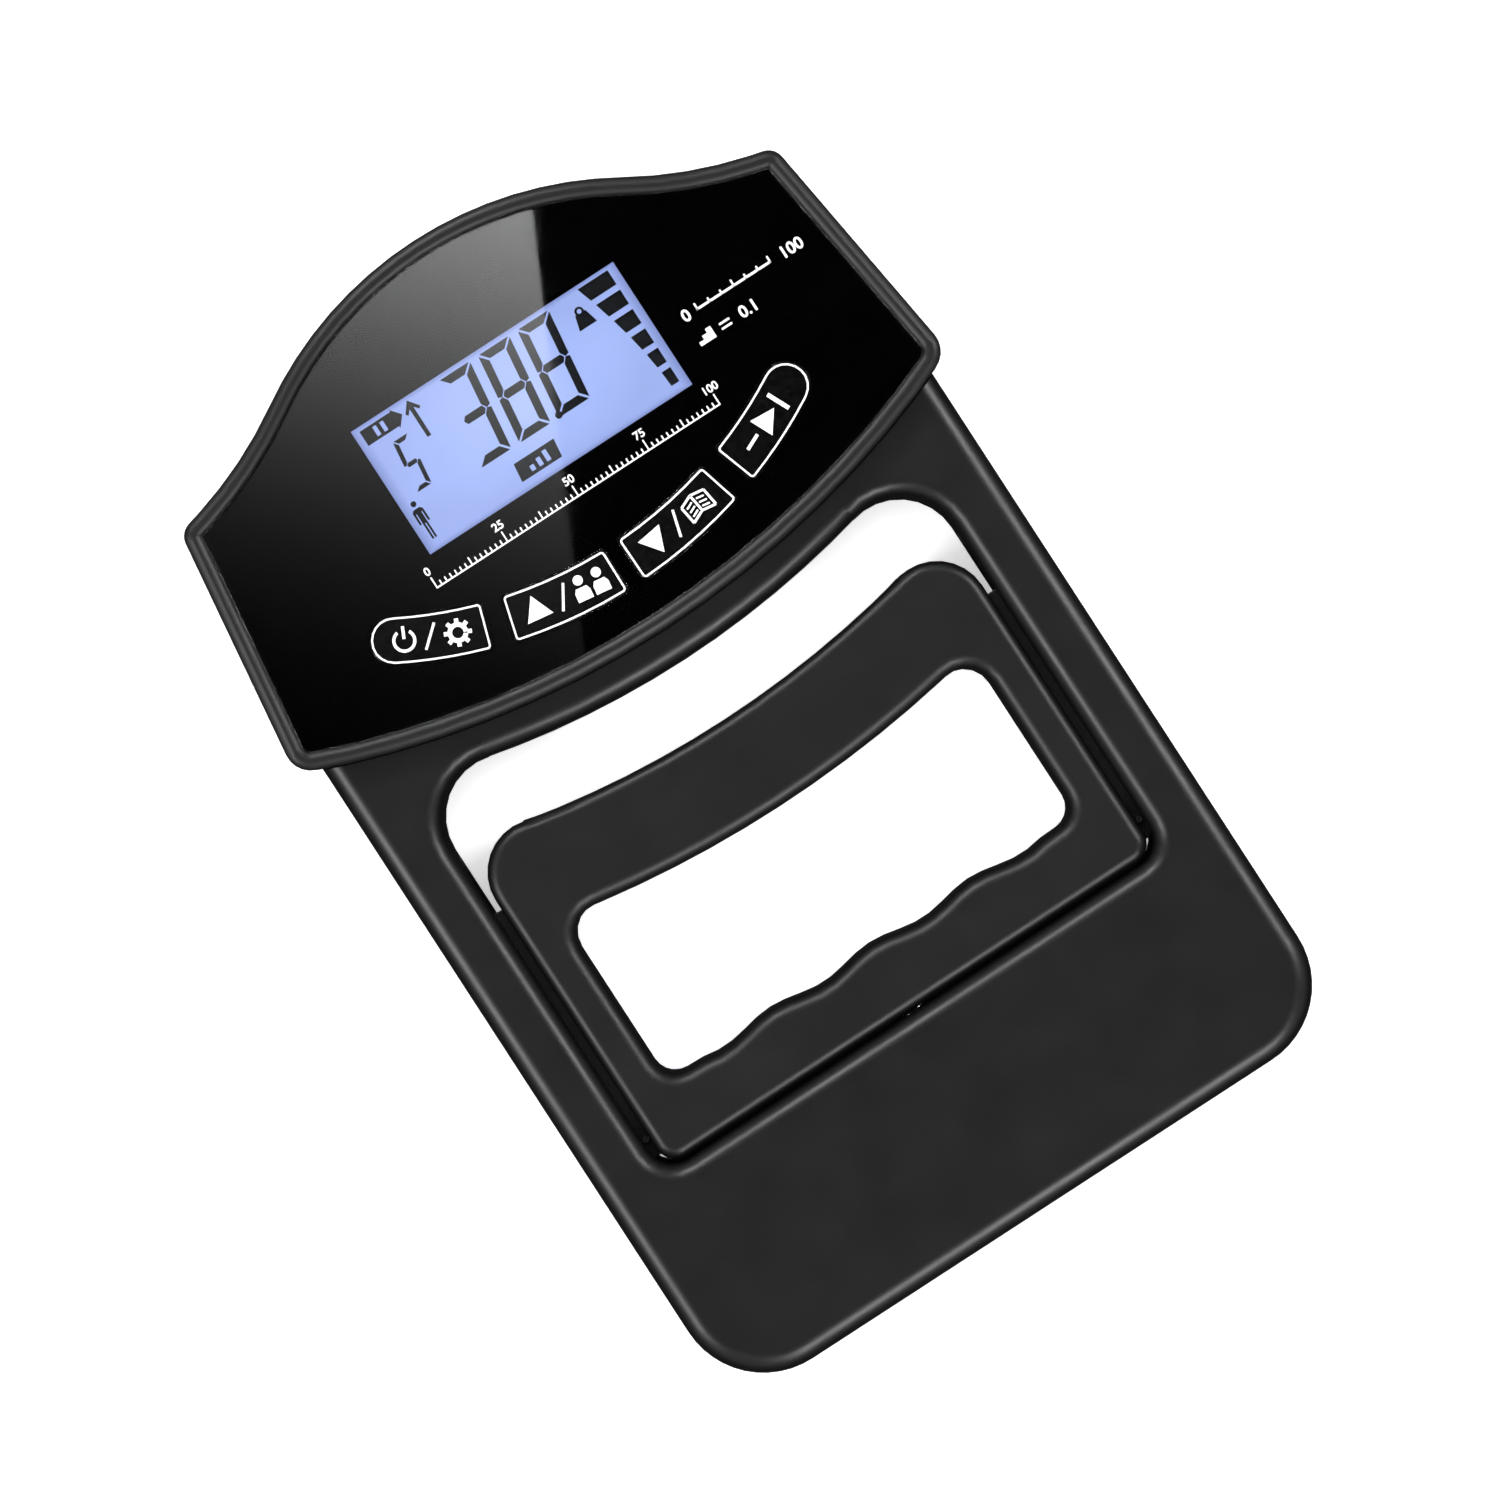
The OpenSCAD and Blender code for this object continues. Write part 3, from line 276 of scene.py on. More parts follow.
def disc(at, radius, level, steps=20):
    return plate([(at[0] + radius * cos(2 * pi * k / steps), at[1] + radius * sin(2 * pi * k / steps))
                  for k in range(steps)], level)


def numeral(text, at, size, level, turn=0.0):
    """A number as a thin layer of ink, centred at a place."""
    bpy.ops.object.text_add(location=(at[0], at[1], level + ink / 2), rotation=(0, 0, turn))
    piece = bpy.context.object
    piece.data.body = text
    piece.data.size = size
    piece.data.offset = 0.02 * size
    piece.data.extrude = ink / 2
    piece.data.resolution_u = 4
    piece.data.align_x = piece.data.align_y = "CENTER"
    only(piece)
    bpy.ops.object.convert(target="MESH")
    settle(bpy.context.object)
    edit_points(bpy.context.object, lambda place: True)
    bpy.ops.mesh.remove_doubles(threshold=1e-7)
    return close(bpy.context.object)


# ---- material tools ----


def linear(code):
    """A hex sRGB colour as linear red, green, blue and alpha."""
    parts = [int(code[k:k + 2], 16) / 255 for k in (1, 3, 5)]
    return tuple(p / 12.92 if p <= 0.04045 else ((p + 0.055) / 1.055) ** 2.4 for p in parts) + (1.0,)


def add(tree, kind, sockets=None, **settings):
    """Adds a shader node with its settings, and fills its sockets with values or links."""
    node = tree.nodes.new("ShaderNode" + kind)
    for setting, value in settings.items():
        setattr(node, setting, value)
    for socket, value in (sockets or {}).items():
        if isinstance(value, bpy.types.NodeSocket):
            tree.links.new(value, node.inputs[socket])
        else:
            node.inputs[socket].default_value = value
    return node


def blend(tree, factor, *stops):
    """A colour ramp over factor, with stops (place, hex colour)."""
    node = add(tree, "ValToRGB", {"Fac": factor})
    elements = node.color_ramp.elements
    while len(elements) < len(stops):
        elements.new(0.5)
    for element, (place, code) in zip(elements, stops):
        element.position = place
        element.color = linear(code)
    return node.outputs["Color"]


def between(tree, value, low, high, start=0.3, end=0.7):
    """Spreads value from start...end over low...high."""
    return add(tree, "MapRange", {"Value": value, "From Min": start, "From Max": end, "To Min": low,
                                  "To Max": high}).outputs["Result"]


def finish(name, **sockets):
    """A new material with its main shader: (material, tree, shader, object coordinates)."""
    material = bpy.data.materials.new(name)
    material.use_nodes = True
    tree = material.node_tree
    tree.nodes.clear()
    shader = add(tree, "BsdfPrincipled", {name.replace("_", " "): value for name, value in sockets.items()})
    add(tree, "OutputMaterial", {"Surface": shader.outputs["BSDF"]})
    return material, tree, shader, add(tree, "TexCoord").outputs["Object"]


def feed(tree, shader, **links):
    for socket, link in links.items():
        tree.links.new(link, shader.inputs[socket.replace("_", " ")])


def noise(tree, place, size, detail=3.0, roughness=0.55):
    """Cloudy noise whose lumps are about size across."""
    return add(tree, "TexNoise", {"Vector": place, "Scale": 1 / size, "Detail": detail,
                                  "Roughness": roughness}).outputs["Fac"]


def bump(tree, height, distance, strength=1.0, under=None):
    sockets = {"Height": height, "Distance": distance, "Strength": strength}
    if under:
        sockets["Normal"] = under
    return add(tree, "Bump", sockets).outputs["Normal"]


def moulded(name, dark, light, rough, grain, depth):
    """Moulded plastic: a spark-eroded grain, a slow drift in colour, and patches polished by hands."""
    material, tree, shader, place = finish(name, IOR=1.52)
    drift = noise(tree, place, 30 * mm, 2)
    speck = noise(tree, place, grain, 4, 0.65)
    pits = add(tree, "TexVoronoi", {"Vector": place, "Scale": 0.6 / grain}).outputs["Distance"]
    polish = noise(tree, place, 9 * mm, 3)
    mixed = add(tree, "Math", {0: drift, 1: speck, 2: 0.12}, operation="MULTIPLY_ADD").outputs[0]
    grainy = bump(tree, speck, depth, 0.5)
    feed(tree, shader, Base_Color=blend(tree, mixed, (0.22, dark), (0.62, light)),
         Roughness=between(tree, polish, rough - 0.02, rough + 0.025),
         Normal=bump(tree, pits, depth * 0.7, 0.35, grainy))
    return material


def metal(name, dark, light, stretch, rough, line=0.12 * mm):
    """Worked metal: tool lines along one way, drawn out by stretch, with a soft cloud of tarnish."""
    material, tree, shader, place = finish(name, Metallic=1.0)
    lines = add(tree, "Mapping", {"Vector": place, "Scale": stretch})
    drawn = noise(tree, lines.outputs["Vector"], line, 4, 0.6)
    cloud = noise(tree, place, 4 * mm, 3)
    feed(tree, shader, Base_Color=blend(tree, cloud, (0.3, dark), (0.7, light)),
         Roughness=between(tree, drawn, rough - 0.06, rough + 0.1),
         Normal=bump(tree, drawn, 0.006 * mm, 0.5))
    return material


# ---- finishes ----

# The frame's satin black, with a fine even grain that spreads the studio's light on its round edges
case_plastic = moulded("satin_black_case", "#090909", "#0d0d0e", 0.40, 0.22 * mm, 0.010 * mm)
# The head's rim has a silkier grain, so its bead carries one broad soft line of light
bezel_plastic = moulded("silky_black_rim", "#09090a", "#0d0d0e", 0.47, 0.3 * mm, 0.006 * mm)
# The grip is a touch rougher, from the hand, so its edges shine less than the frame's
grip_plastic = moulded("satin_black_grip", "#050506", "#09090b", 0.45, 0.24 * mm, 0.011 * mm)
# The wheel is plain moulded plastic with a coarser grain
wheel_plastic = moulded("knurled_black_wheel", "#161617", "#232325", 0.45, 0.3 * mm, 0.014 * mm)
# Waxy acetal for the guides and shoes, faintly cloudy; its colour is set darker still as painted shade, standing
# for the deep shade in the gap beside the grip
guide_plastic = moulded("waxy_acetal_painted_shade_dark", "#060607", "#0c0c0e", 0.45, 0.5 * mm, 0.004 * mm)
# Switch bodies are pale moulded nylon
switch_plastic = moulded("grey_nylon", "#76767a", "#8f8f94", 0.5, 0.3 * mm, 0.008 * mm)
# Moulded chips, matt and nearly black
chip_plastic = moulded("matt_chip_black", "#101011", "#1c1c1d", 0.55, 0.15 * mm, 0.006 * mm)
# Soft feet: dull, with a coarse matt grain that never shines
foot_rubber = moulded("matt_black_rubber", "#0d0d0d", "#1a1a1a", 0.72, 0.4 * mm, 0.03 * mm)
# Ribbon insulation, flexible and slightly glossy
lead_rubber = moulded("soft_ribbon_jacket", "#1a1a1e", "#2b2b31", 0.42, 0.6 * mm, 0.01 * mm)
# Bent and plated contact metal, bright
contact_steel = metal("nickel_plated_strip", "#b9b7b0", "#d2d0c9", (1, 0.05, 1), 0.24)
# Milled alloy blocks, with cutter lines across
alloy = metal("milled_alloy", "#a9abb0", "#c3c5ca", (0.06, 1, 1), 0.3)
# Zinc plated screws, softly grey
screw_steel = metal("zinc_plated_steel", "#8b8c90", "#a9aaae", (1, 1, 0.1), 0.3)
# The lead screw's rolled thread, bright on its crests
rod_steel = metal("rolled_thread_steel", "#9b9da2", "#bdbfc4", (1, 0.2, 1), 0.2)
# Turned brass bushes
bushing_brass = metal("turned_brass", "#b08a3e", "#cfac5c", (1, 0.1, 1), 0.26)

# Gloss ink behind the panel: jet black with the faintest orange peel
mask_black, tree, shader, place = finish("black_back_print", IOR=1.5, Specular_IOR_Level=0.05)
peel = noise(tree, place, 3 * mm, 2)
feed(tree, shader, Base_Color=blend(tree, peel, (0.3, "#000000"), (0.7, "#010101")),
     Roughness=between(tree, peel, 0.3, 0.42), Normal=bump(tree, peel, 0.002 * mm, 0.3))

# Clear acrylic over the whole face: water clear, and flat enough to mirror the light above it
panel_clear, tree, shader, place = finish("clear_acrylic", IOR=1.49, Transmission_Weight=1.0)
haze = noise(tree, place, 14 * mm, 2)
feed(tree, shader, Base_Color=blend(tree, haze, (0.2, "#f4f6f8"), (0.8, "#fdfdff")),
     Roughness=between(tree, haze, 0.012, 0.03))

# Lit display: pale lilac blue, a little deeper towards the sides, greyer along its edge, with a fine cell texture
lcd_lit, tree, shader, place = finish("lit_blue_display", Roughness=0.25, Emission_Strength=1.1)
centred = add(tree, "VectorMath", {0: place, 1: glass_mid}, operation="SUBTRACT").outputs[0]
shares = add(tree, "VectorMath", {0: centred, 1: (1 / window_half.x, 1 / window_half.y, 0)}, operation="MULTIPLY")
far = add(tree, "VectorMath", {0: shares.outputs[0]}, operation="LENGTH").outputs["Value"]
glow = blend(tree, far, (0.0, "#b1c5ff"), (0.5, "#abbffd"), (0.8, "#a7bbf8"), (1.0, "#a3b6f2"))
spread = add(tree, "VectorMath", {0: shares.outputs[0]}, operation="ABSOLUTE").outputs[0]
sides = add(tree, "SeparateXYZ", {0: spread})
rim = add(tree, "Math", {0: sides.outputs["X"], 1: sides.outputs["Y"]}, operation="MAXIMUM").outputs[0]
rim_shade = blend(tree, rim, (0.0, "#ffffff"), (0.93, "#ffffff"), (0.975, "#e2e2e8"), (1.0, "#d0d0da"))
cells = add(tree, "TexBrick", {"Vector": place, "Scale": 1 / (1.2 * mm), "Color1": (1, 1, 1, 1),
                               "Color2": (0.985, 0.985, 0.985, 1), "Mortar": (0.94, 0.94, 0.95, 1),
                               "Mortar Size": 0.012}).outputs["Color"]
lit = add(tree, "Mix", {0: 1.0, 6: glow, 7: cells}, data_type="RGBA", blend_type="MULTIPLY").outputs[2]
lit = add(tree, "Mix", {0: 1.0, 6: lit, 7: rim_shade}, data_type="RGBA", blend_type="MULTIPLY").outputs[2]
feed(tree, shader, Base_Color=blend(tree, far, (0.0, "#30343c"), (1.0, "#23262e")), Emission_Color=lit)

# Liquid crystal segments: ink dark, a little uneven where the cell is thin
lcd_black, tree, shader, place = finish("display_segment", IOR=1.5)
uneven = noise(tree, place, 1.5 * mm, 3)
feed(tree, shader, Base_Color=blend(tree, uneven, (0.3, "#0a0b10"), (0.7, "#14161d")),
     Roughness=between(tree, uneven, 0.3, 0.5))

# White light guide behind the display
light_white, tree, shader, place = finish("white_light_guide", Emission_Strength=0.6, Subsurface_Weight=0.2)
milky = noise(tree, place, 5 * mm, 2)
feed(tree, shader, Base_Color=blend(tree, milky, (0.2, "#dfe5f2"), (0.8, "#f2f5fb")),
     Roughness=between(tree, milky, 0.4, 0.55),
     Emission_Color=blend(tree, milky, (0.2, "#c9d4ff"), (0.8, "#e7edff")))

# Zebra strip: pink rubber with fine dark carbon layers
strip_rubber, tree, shader, place = finish("zebra_strip", IOR=1.43)
layers = add(tree, "TexWave", {"Vector": place, "Scale": 1 / (2.4 * mm), "Distortion": 0.1},
             wave_type="BANDS", bands_direction="X").outputs["Fac"]
feed(tree, shader, Base_Color=blend(tree, layers, (0.35, "#2a2022"), (0.6, "#d79aa2")),
     Roughness=between(tree, layers, 0.5, 0.7))

# Circuit board: green mask over copper tracks that run in straight lanes
board_green, tree, shader, place = finish("green_solder_mask", IOR=1.5, Coat_Weight=0.4)
lanes = add(tree, "TexBrick", {"Vector": place, "Scale": 1 / (6 * mm), "Color1": (1, 1, 1, 1),
                               "Color2": (0.8, 0.8, 0.8, 1), "Mortar": (0, 0, 0, 1), "Mortar Size": 0.05})
copper = noise(tree, place, 5 * mm, 3)
feed(tree, shader, Base_Color=blend(tree, lanes.outputs["Color"], (0.2, "#2f7a4a"), (0.8, "#174a2b")),
     Roughness=between(tree, copper, 0.3, 0.45), Normal=bump(tree, lanes.outputs["Fac"], 0.03 * mm, 0.6))

# Key tops: gloss black film that shows a trace of orange peel
key_black, tree, shader, place = finish("gloss_black_key", IOR=1.5, Coat_Weight=0.5, Coat_Roughness=0.04)
dimple = noise(tree, place, 1.2 * mm, 2)
feed(tree, shader, Base_Color=blend(tree, dimple, (0.3, "#040404"), (0.7, "#090909")),
     Roughness=between(tree, dimple, 0.10, 0.18), Normal=bump(tree, dimple, 0.003 * mm, 0.35))

# Screen ink: opaque white with the mesh of the screen just showing; the same white, laid round each key's top, is a
# painted highlight for the light its raised rim catches
white_ink_and_rim_highlight, tree, shader, place = finish("white_ink_and_painted_rim_highlight", IOR=1.48)
mesh_mark = noise(tree, place, 0.25 * mm, 3)
feed(tree, shader, Base_Color=blend(tree, mesh_mark, (0.3, "#e6e6e4"), (0.7, "#fbfbf9")),
     Roughness=between(tree, mesh_mark, 0.42, 0.6), Normal=bump(tree, mesh_mark, 0.004 * mm, 0.4))

# Cell sleeve: shrunk blue film, a lighter band at one end, and small wrinkles from the shrinking
cell_jacket, tree, shader, place = finish("shrunk_blue_sleeve", IOR=1.5, Coat_Weight=0.6, Coat_Roughness=0.12)
along = add(tree, "SeparateXYZ", {0: place}).outputs["X"]
wrinkle = noise(tree, add(tree, "Mapping", {"Vector": place, "Scale": (0.3, 1, 1)}).outputs["Vector"], 1.5 * mm)
feed(tree, shader, Base_Color=blend(tree, between(tree, along, 0, 1, -22 * mm, 22 * mm), (0.0, "#1d4f86"),
                                    (0.7, "#1a477a"), (0.72, "#c9ccd2"), (0.9, "#d3d6dc"), (0.92, "#1a477a")),
     Roughness=between(tree, wrinkle, 0.22, 0.36), Normal=bump(tree, wrinkle, 0.03 * mm, 0.4))

# Strain gauge foil: fine copper lines on amber film
gauge_foil, tree, shader, place = finish("foil_gauge", IOR=1.6)
grid = add(tree, "TexWave", {"Vector": place, "Scale": 1 / (3.2 * mm), "Distortion": 0.0}, wave_type="BANDS",
           bands_direction="X").outputs["Fac"]
feed(tree, shader, Base_Color=blend(tree, grid, (0.4, "#8c5a24"), (0.6, "#c98a3f")),
     Metallic=between(tree, grid, 0.1, 0.9), Roughness=between(tree, grid, 0.5, 0.3))

# Rating plate: brushed foil with long fine scratches along it
plate_foil, tree, shader, place = finish("brushed_foil_plate", Metallic=1.0)
brushed = noise(tree, add(tree, "Mapping", {"Vector": place, "Scale": (0.04, 1, 1)}).outputs["Vector"],
                0.1 * mm, 4, 0.6)
feed(tree, shader, Base_Color=blend(tree, brushed, (0.3, "#a6a8ac"), (0.7, "#c6c8cc")),
     Roughness=between(tree, brushed, 0.28, 0.44), Normal=bump(tree, brushed, 0.005 * mm, 0.5))

carried = {
    "lcd_glass": lcd_lit, "lcd_segments": lcd_black, "lcd_backlight": light_white, "contact_strips": strip_rubber,
    "main_board": board_green, "board_parts": chip_plastic, "key_switches": switch_plastic,
    "battery_1": cell_jacket, "battery_2": cell_jacket, "battery_springs": contact_steel,
    "battery_plates": contact_steel, "load_cell": alloy, "strain_gauges": gauge_foil, "cell_screws": screw_steel,
    "sensor_lead": lead_rubber, "case_screws": screw_steel, "board_screws": screw_steel,
    "screw_bushing": bushing_brass, "rail_guide_left": guide_plastic, "rail_guide_right": guide_plastic,
    "thrust_washer": contact_steel, "wheel_cage": alloy, "cage_screws": screw_steel, "wheel_nut": bushing_brass,
    "anchor_block": alloy, "lock_nut": screw_steel, "stop_ring": screw_steel, "grip_screws": screw_steel,
    "shoe_dowels": contact_steel,
}
for node, material in carried.items():
    wear(nodes[node], material)

# ---- moulded shells ----

shells = [
    ("front_shell", "frame", "case_plastic", case_plastic, 0.15, 38),
    ("rear_shell", "frame", "case_plastic", case_plastic, 0.15, 38),
    ("head_bezel", "frame", "bezel_plastic", bezel_plastic, 0.1, 65),
    ("grip_front", "grip", "grip_plastic", grip_plastic, 0.15, 38),
    ("grip_rear", "grip", "grip_plastic", grip_plastic, 0.15, 38),
    ("battery_door", "battery_door", "case_plastic", case_plastic, 0.2, 38),
    ("shoe_left", "grip", "guide_plastic", guide_plastic, 0.2, 38),
    ("shoe_right", "grip", "guide_plastic", guide_plastic, 0.2, 38),
    ("rubber_feet", "frame", "foot_rubber", foot_rubber, 0.35, 38),
    ("rating_plate", "frame", "plate_foil", plate_foil, 0.08, 38),
    ("display_panel", "frame", "panel_clear", panel_clear, 0.12, 38),
]
for node, body, slot, material, edge, angle in shells:
    piece = from_frame(node + "_finished", node)
    wear(ease(piece, edge * mm, angle), material)
    fit(piece, body, node)

# The black print lies on the back of the panel, a hair below it
mask = from_frame("panel_mask_print", "panel_mask")
edit_faces(mask, lambda centre, normal: normal.z > 0.9)
bpy.ops.transform.translate(value=(0, 0, -0.02 * mm))
close(mask)
fit(wear(smooth(mask), mask_black), "frame", "panel_mask")

# ---- keys ----


def key_place(side, angle, along=0.0, up=0.0):
    """A place on the row of keys: (point, turn), along and up from the middle of the row at an angle."""
    turn = radians(angle) * side
    at = (key_arc_r * sin(turn), key_arc_y - key_arc_r * cos(turn))
    return turned([(along, up)], turn, at)[0], turn


def dressed_key(node):
    """A key with softened edges and a white line round its top, a painted highlight for the light its raised rim
    catches.
    """
    piece = from_frame(node + "_cap", node)
    edit_faces(piece, lambda centre, normal: normal.z > 0.9 and centre.z > key_top - 0.05 * mm)
    bpy.ops.mesh.inset(thickness=0.16 * mm, depth=key_mark_rise)
    bpy.ops.mesh.inset(thickness=0.3 * mm, depth=0.0)
    close(piece)
    wear(piece, key_black, white_ink_and_rim_highlight)
    top = max(face.center.z for face in piece.data.polygons)
    rim = [face for face in piece.data.polygons if face.normal.z > 0.95 and face.center.z > top - 0.01 * mm]
    largest = max(rim, key=lambda face: face.area)
    # The ring faces round the top take the white: a painted highlight along the key's raised rim
    for face in rim:
        if face.index != largest.index:
            face.material_index = 1
    smooth(piece, 30)
    return fit(piece, node, node)


for node in ("key_left_outer", "key_left_inner", "key_right_inner", "key_right_outer"):
    dressed_key(node)

mark_level = key_top + key_mark_rise
outer_mid = 25.0
inner_mid = 8.2


def on_key(side, middle, shapes):
    """Draws ink shapes given along and up from a key's middle, in millimetres."""
    at, turn = key_place(side, middle)
    pieces = []
    for kind, *facts in shapes:
        if kind == "area":
            pieces.append(plate(turned([(x * mm, y * mm) for x, y in facts[0]], turn, at), mark_level))
        elif kind == "line":
            start, end, width = facts
            ends = turned([(start[0] * mm, start[1] * mm), (end[0] * mm, end[1] * mm)], turn, at)
            pieces.append(bar(ends[0], ends[1], width * mm, mark_level))
        elif kind == "arc":
            (x, y), radius, width, a0, a1 = facts
            middle_at = turned([(x * mm, y * mm)], turn, at)[0]
            spin = turn * 180 / pi
            pieces.append(ring_arc(middle_at, radius * mm, width * mm, a0 + spin, a1 + spin, mark_level))
        else:
            (x, y), radius = facts
            pieces.append(disc(turned([(x * mm, y * mm)], turn, at)[0], radius * mm, mark_level))
    return pieces


slash = ("line", (-1.0, -2.0), (0.9, 2.3), 0.42)
power_marks = [("arc", (-4.4, 0), 1.75, 0.5, 125, 415), ("line", (-4.4, 0.3), (-4.4, 2.4), 0.5), slash,
               ("arc", (4.6, 0.1), 1.35, 0.75, 0, 350)]
power_marks += [("line", (4.6 + 1.6 * cos(k * pi / 4), 0.1 + 1.6 * sin(k * pi / 4)),
                 (4.6 + 2.35 * cos(k * pi / 4), 0.1 + 2.35 * sin(k * pi / 4)), 0.7) for k in range(8)]
up_marks = [("area", [(-7.2, -1.5), (-2.6, -1.5), (-4.9, 2.6)]), slash]
for x in (3.3, 6.6):
    up_marks += [("dot", (x, 1.65), 0.85),
                 ("area", [(x - 1.35, -1.9), (x + 1.35, -1.9), (x + 1.35, -0.4), (x + 0.95, 0.35),
                           (x - 0.95, 0.35), (x - 1.35, -0.4)])]
down_marks = [("area", [(-7.0, 2.0), (-2.4, 2.0), (-4.7, -2.1)]), slash,
              ("line", (2.2, 1.5), (4.6, 2.2), 0.4), ("line", (4.6, 2.2), (7.0, 1.5), 0.4),
              ("line", (2.2, 1.5), (2.2, -1.7), 0.4), ("line", (7.0, 1.5), (7.0, -1.7), 0.4),
              ("line", (2.2, -1.7), (4.6, -1.0), 0.4), ("line", (4.6, -1.0), (7.0, -1.7), 0.4),
              ("line", (4.6, 2.2), (4.6, -1.0), 0.4)]
for k in range(3):
    down_marks += [("line", (2.8, 0.75 - k * 0.8), (4.1, 1.15 - k * 0.8), 0.3),
                   ("line", (5.1, 1.15 - k * 0.8), (6.4, 0.75 - k * 0.8), 0.3)]
start_marks = [("area", [(-2.0, -2.2), (-2.0, 2.2), (2.0, 0)]), ("line", (3.3, -2.1), (3.3, 2.1), 0.7),
               ("line", (-6.2, 0), (-3.2, 0), 0.55)]
for node, side, middle, shapes in (
    ("key_left_outer", -1, outer_mid, power_marks), ("key_left_inner", -1, inner_mid, up_marks),
    ("key_right_inner", 1, inner_mid, down_marks), ("key_right_outer", 1, outer_mid, start_marks),
):
    legend = joined(node + "_legend", on_key(side, middle, shapes))
    fit(wear(legend, white_ink_and_rim_highlight), node)

# ---- printed scale and range marks on the panel ----

scale_y = head_low.y + 27.4 * mm
scale_half = 28
ticks = []
for k in range(-scale_half, scale_half + 1):
    tall = 1.9 if k % 14 == 0 else 1.35 if k % 7 == 0 else 0.8
    ticks.append(bar((k * mm, scale_y - 1.0 * mm), (k * mm, scale_y + (tall - 1.0) * mm), fine_stroke, panel_top))
ticks.append(bar((-(scale_half + 0.12) * mm, scale_y - 1.1 * mm), ((scale_half + 0.12) * mm, scale_y - 1.1 * mm),
                 0.26 * mm, panel_top))
for k, text in enumerate(("0", "25", "50", "75", "100")):
    ticks.append(numeral(text, ((14 * k - scale_half) * mm, scale_y + 1.95 * mm), small_numeral, panel_top))
range_x = 30.5
range_y = head_low.y + 41.6 * mm
step_y = head_low.y + 37.0 * mm
ticks.append(numeral("0", ((range_x + 0.8) * mm, range_y), large_numeral, panel_top))
ticks.append(bar(((range_x + 2.8) * mm, range_y), ((range_x + 17.5) * mm, range_y), 0.4 * mm, panel_top))
for k in range(7):
    x, tall = (range_x + 3 + 2.4 * k) * mm, 1.1 if k % 3 == 0 else 0.7
    ticks.append(bar((x, range_y - 0.2 * mm), (x, range_y + tall * mm), 0.3 * mm, panel_top))
ticks.append(numeral("100", ((range_x + 21.6) * mm, range_y), large_numeral, panel_top))
stairs = [(0, -1.0), (3.0, -1.0), (3.0, 1.1), (2.0, 1.1), (2.0, 0.4), (1.0, 0.4), (1.0, -0.3), (0, -0.3)]
ticks.append(plate([((range_x + 0.2 + x) * mm, step_y + y * mm) for x, y in stairs], panel_top))
for rise in (0.45, -0.45):
    y = step_y + rise * mm
    ticks.append(bar(((range_x + 4.6) * mm, y), ((range_x + 6.6) * mm, y), broad_stroke, panel_top))
ticks.append(numeral("0.1", ((range_x + 10.2) * mm, step_y), large_numeral, panel_top))
fit(wear(joined("panel_scale_print", ticks), white_ink_and_rim_highlight), "frame")

# ---- lead screw, its thread wound as a helix ----

around, rings = 28, int((screw_high.y - screw_low.y) / (thread_pitch / 8))
bpy.ops.mesh.primitive_grid_add(x_subdivisions=around, y_subdivisions=rings, size=1, location=(0, 0, 0))
rod = bpy.context.object
rod.name = rod.data.name = "lead_screw_thread"
rod_r = (screw_high.x - screw_low.x) / 2
for point in rod.data.vertices:
    turn, share = (point.co.x + 0.5) * 2 * pi, point.co.y + 0.5
    y = screw_low.y + share * (screw_high.y - screw_low.y)
    # Across one pitch: a flat crest, two straight flanks and a flat root
    phase = (turn / (2 * pi) - y / thread_pitch) % 1
    crest = min(1.0, max(0.0, 1.3 - 3.2 * abs(phase - 0.5)))
    lead_in = min(1.0, (y - screw_low.y) / (0.8 * mm), (screw_high.y - y) / (0.8 * mm))
    r = rod_r - thread_depth * (1 - crest * max(lead_in, 0))
    point.co = (screw_mid.x + r * sin(turn), y, screw_mid.z + r * cos(turn))
edit_points(rod, lambda place: True)
bpy.ops.mesh.remove_doubles(threshold=1e-6)
close(rod)
for end in (screw_low.y, screw_high.y):
    edit_points(rod, lambda place: abs(place.y - end) < 1e-6)
    bpy.ops.mesh.edge_face_add()
    close(rod)
edit_points(rod, lambda place: True)
bpy.ops.mesh.normals_make_consistent(inside=False)
close(rod)
only(rod)
bpy.ops.object.shade_smooth_by_angle(angle=radians(50))
fit(wear(rod, rod_steel), "grip", "lead_screw")

# ---- adjusting wheel, with a knurl round its rim ----

wheel_r = (wheel_high.x - wheel_low.x) / 2
wheel_half = (wheel_high.y - wheel_low.y) / 2
bpy.ops.mesh.primitive_cylinder_add(vertices=knurls * 4, radius=wheel_r, depth=2 * wheel_half, location=wheel_mid,
                                    rotation=(radians(90), 0, 0), end_fill_type="NGON")
wheel = bpy.context.object
wheel.name = wheel.data.name = "thumbwheel_knurled"
settle(wheel)
edit_faces(wheel, lambda centre, normal: abs(normal.y) > 0.9)
bpy.ops.mesh.inset(thickness=0.6 * mm, use_individual=True)
bpy.ops.mesh.inset(thickness=0.7 * mm, depth=-0.5 * mm, use_individual=True)
close(wheel)
edit_points(wheel, lambda place: hypot(place.x - wheel_mid.x, place.z - wheel_mid.z) > wheel_r - 0.01 * mm
            and int(round((atan2(place.z - wheel_mid.z, place.x - wheel_mid.x) % (2 * pi))
                          / (2 * pi) * knurls * 4)) % 4 == 0)
bpy.ops.transform.resize(value=(1 - knurl_depth / wheel_r, 1, 1 - knurl_depth / wheel_r), center_override=wheel_mid)
close(wheel)
ease(wheel, 0.12 * mm, 30)
fit(wear(wheel, wheel_plastic), "wheel", "thumbwheel")

# ---- marks on the back ----

